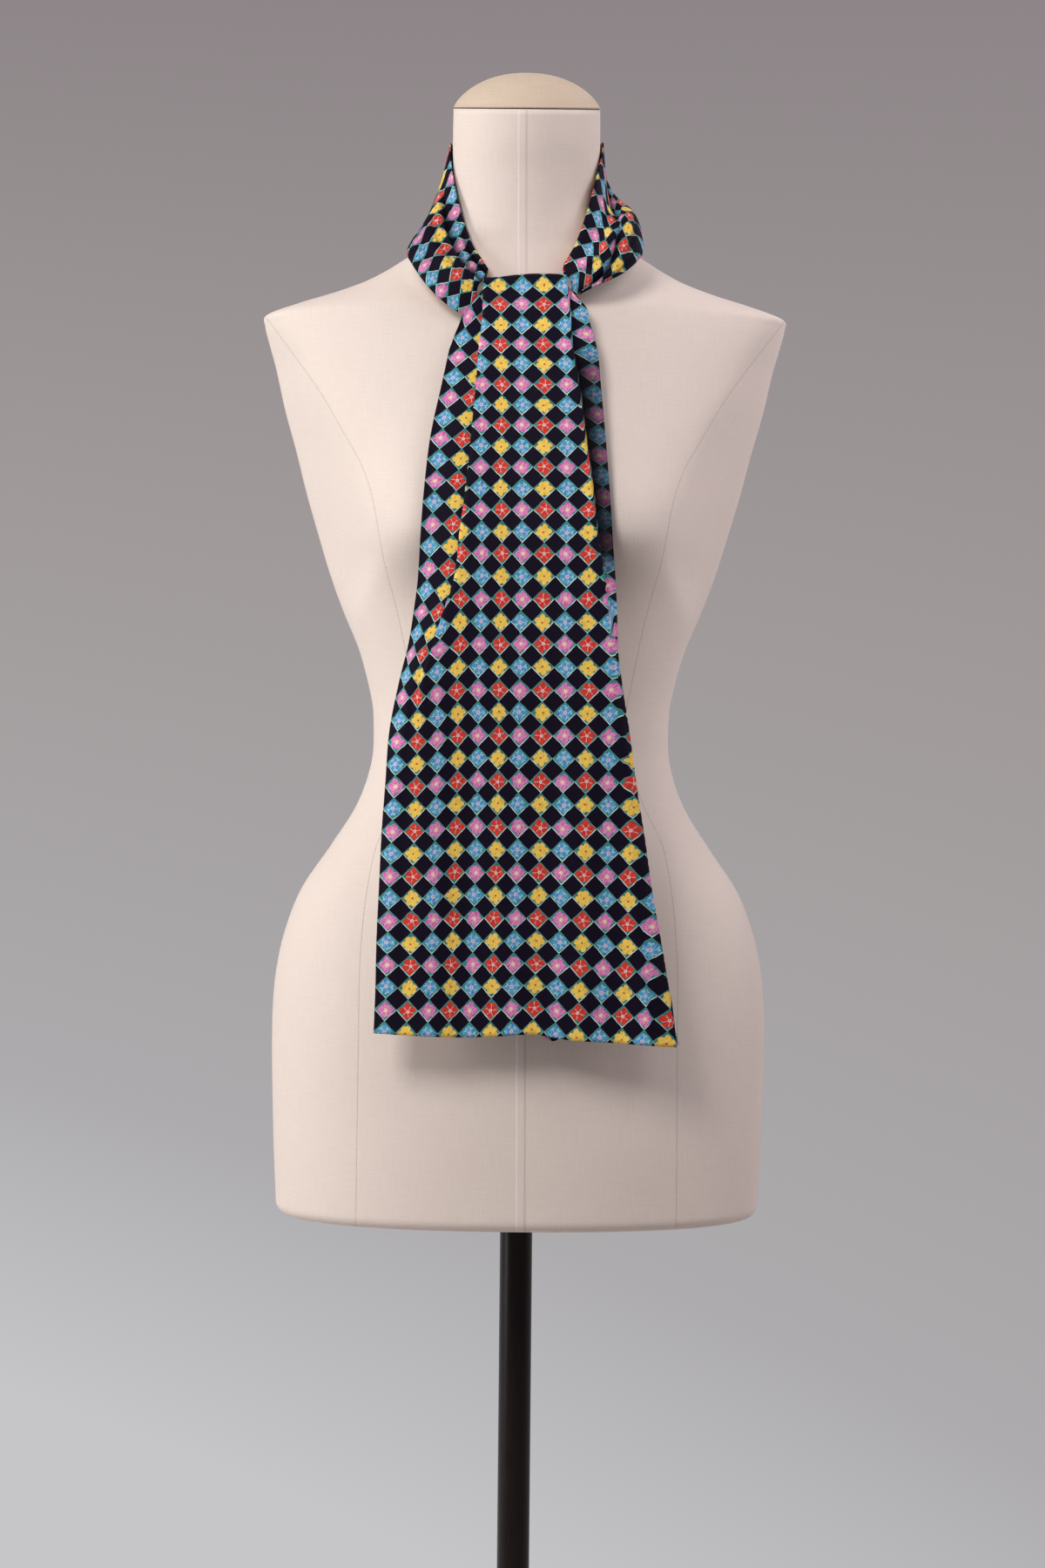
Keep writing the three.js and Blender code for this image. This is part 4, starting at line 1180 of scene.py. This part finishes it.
# Assembly
body, cap, joint = form_body(), neck_cap(), joint_band()
metal_pieces = stand()
silk_pieces = [front_apron(), neck_wrap(), under_end()]
cream = linen_look("linen_cream", rgb(240, 226, 214), rgb(234, 219, 207), ("mid", "princess", "side"))
cap_linen = linen_look("linen_cap", rgb(219, 199, 175), rgb(210, 189, 164))
for pieces, material in (
    (silk_pieces, silk_look()),
    (metal_pieces, metal_look()),
    ([body], cream),
    ([cap], cap_linen),
    ([joint], joint_look()),
):
    for piece in pieces:
        piece.data.materials.append(material)


# Floor, light and camera, in metres
FLOOR = {"radius": 1.25, "height": -0.0005, "sides": 96}
COOL, ROSE = (1.0, 0.98, 0.98), (1.0, 0.95, 1.0)
# Lamps: name, place, the height each points at, size, power and colour
LAMPS = [
    ("key_high_left", (-1.25, -2.2, 3.0), 1.2, (1.1, 1.1), 47, COOL),
    ("side_left", (-2.45, -0.75, 1.6), 1.05, (0.9, 2.0), 38, COOL),
    ("right_high", (1.9, -0.7, 2.9), 1.45, (1.0, 1.0), 7, ROSE),
    ("right_front", (1.0, -1.6, 2.5), 1.35, (0.9, 0.9), 6, ROSE),
    ("right_back", (1.5, 0.9, 2.4), 1.4, (1.0, 1.2), 6, ROSE),
    ("side_right", (1.4, -0.35, 1.75), 1.35, (0.8, 0.8), 5.5, ROSE),
]
# The backdrop's colours from its foot to its top, on a slant that is steeper near the floor
BACKDROP = [
    (0, (198, 198, 201)), (0.22, (173, 171, 173)), (0.6, (161, 155, 155)), (0.8, (152, 145, 146)),
    (1, (140, 132, 134)),
]
BACKDROP_RISE = (-0.25, 0.25)
BACKDROP_SLANT = 0.9
ROOM = rgb(92, 90, 98)
ROOM_FADES = (-0.5, 0.3)
CAMERA = {"sensor": 36, "lens": 72.6, "place": (0.0016, -2.45, 1.049), "tilt": 90, "roll": -0.55}


def floor():
    angle = 2 * math.pi * np.arange(FLOOR["sides"]) / FLOOR["sides"]
    level = np.full(FLOOR["sides"], FLOOR["height"])
    ring = join(FLOOR["radius"] * np.cos(angle), FLOOR["radius"] * np.sin(angle), level)
    mesh = bpy.data.meshes.new("pale_floor")
    mesh.from_pydata(ring.tolist(), [], [list(range(FLOOR["sides"]))])
    disc = placed("pale_floor", mesh)
    look = Look("pale_floor", 0.7)
    look.colour(rgb(214, 210, 206))
    mesh.materials.append(look.material)


def area_light(name, place, aim, size, power, colour):
    data = bpy.data.lights.new(name, "AREA")
    data.shape = "RECTANGLE"
    data.size, data.size_y = size
    data.energy = power
    data.color = colour
    lamp = placed(name, data)
    lamp.location = place
    lamp.rotation_euler = (Vector((0, 0, aim)) - Vector(place)).to_track_quat("-Z", "Y").to_euler()


def world():
    """A far backdrop, darker above and lighter below, and a dimmer room in front of it."""
    sky = bpy.data.worlds.new("backdrop")
    bpy.context.scene.world = sky
    sky.use_nodes = True
    nodes = Nodes(sky.node_tree)
    across, inward, up = nodes.split(nodes.node("ShaderNodeTexCoord").outputs["Generated"])
    height = nodes.step(up, *BACKDROP_RISE, kind="LINEAR")
    slant = nodes.times(nodes.times(across, nodes.minus(1.0, height)), BACKDROP_SLANT)
    ramp = nodes.node("ShaderNodeValToRGB")
    nodes.plug(ramp.inputs[0], nodes.plus(slant, height))
    foot, *between, top = BACKDROP
    stops = ramp.color_ramp.elements
    stops[0].color = rgb(*foot[1])
    stops[1].color = rgb(*top[1])
    for place, colour in between:
        stops.new(place).color = rgb(*colour)
    shown = nodes.blend(nodes.step(inward, *ROOM_FADES), ROOM, ramp.outputs[0])
    nodes.plug(sky.node_tree.nodes["Background"].inputs["Color"], shown)


def camera():
    data = bpy.data.cameras.new("photo_camera")
    data.sensor_width = CAMERA["sensor"]
    data.lens = CAMERA["lens"]
    eye = placed("photo_camera", data)
    eye.location = CAMERA["place"]
    eye.rotation_euler = (math.radians(CAMERA["tilt"]), math.radians(CAMERA["roll"]), 0)
    bpy.context.scene.camera = eye


floor()
world()
for lamp in LAMPS:
    area_light(*lamp)
camera()
bpy.context.scene.view_settings.view_transform = "Standard"
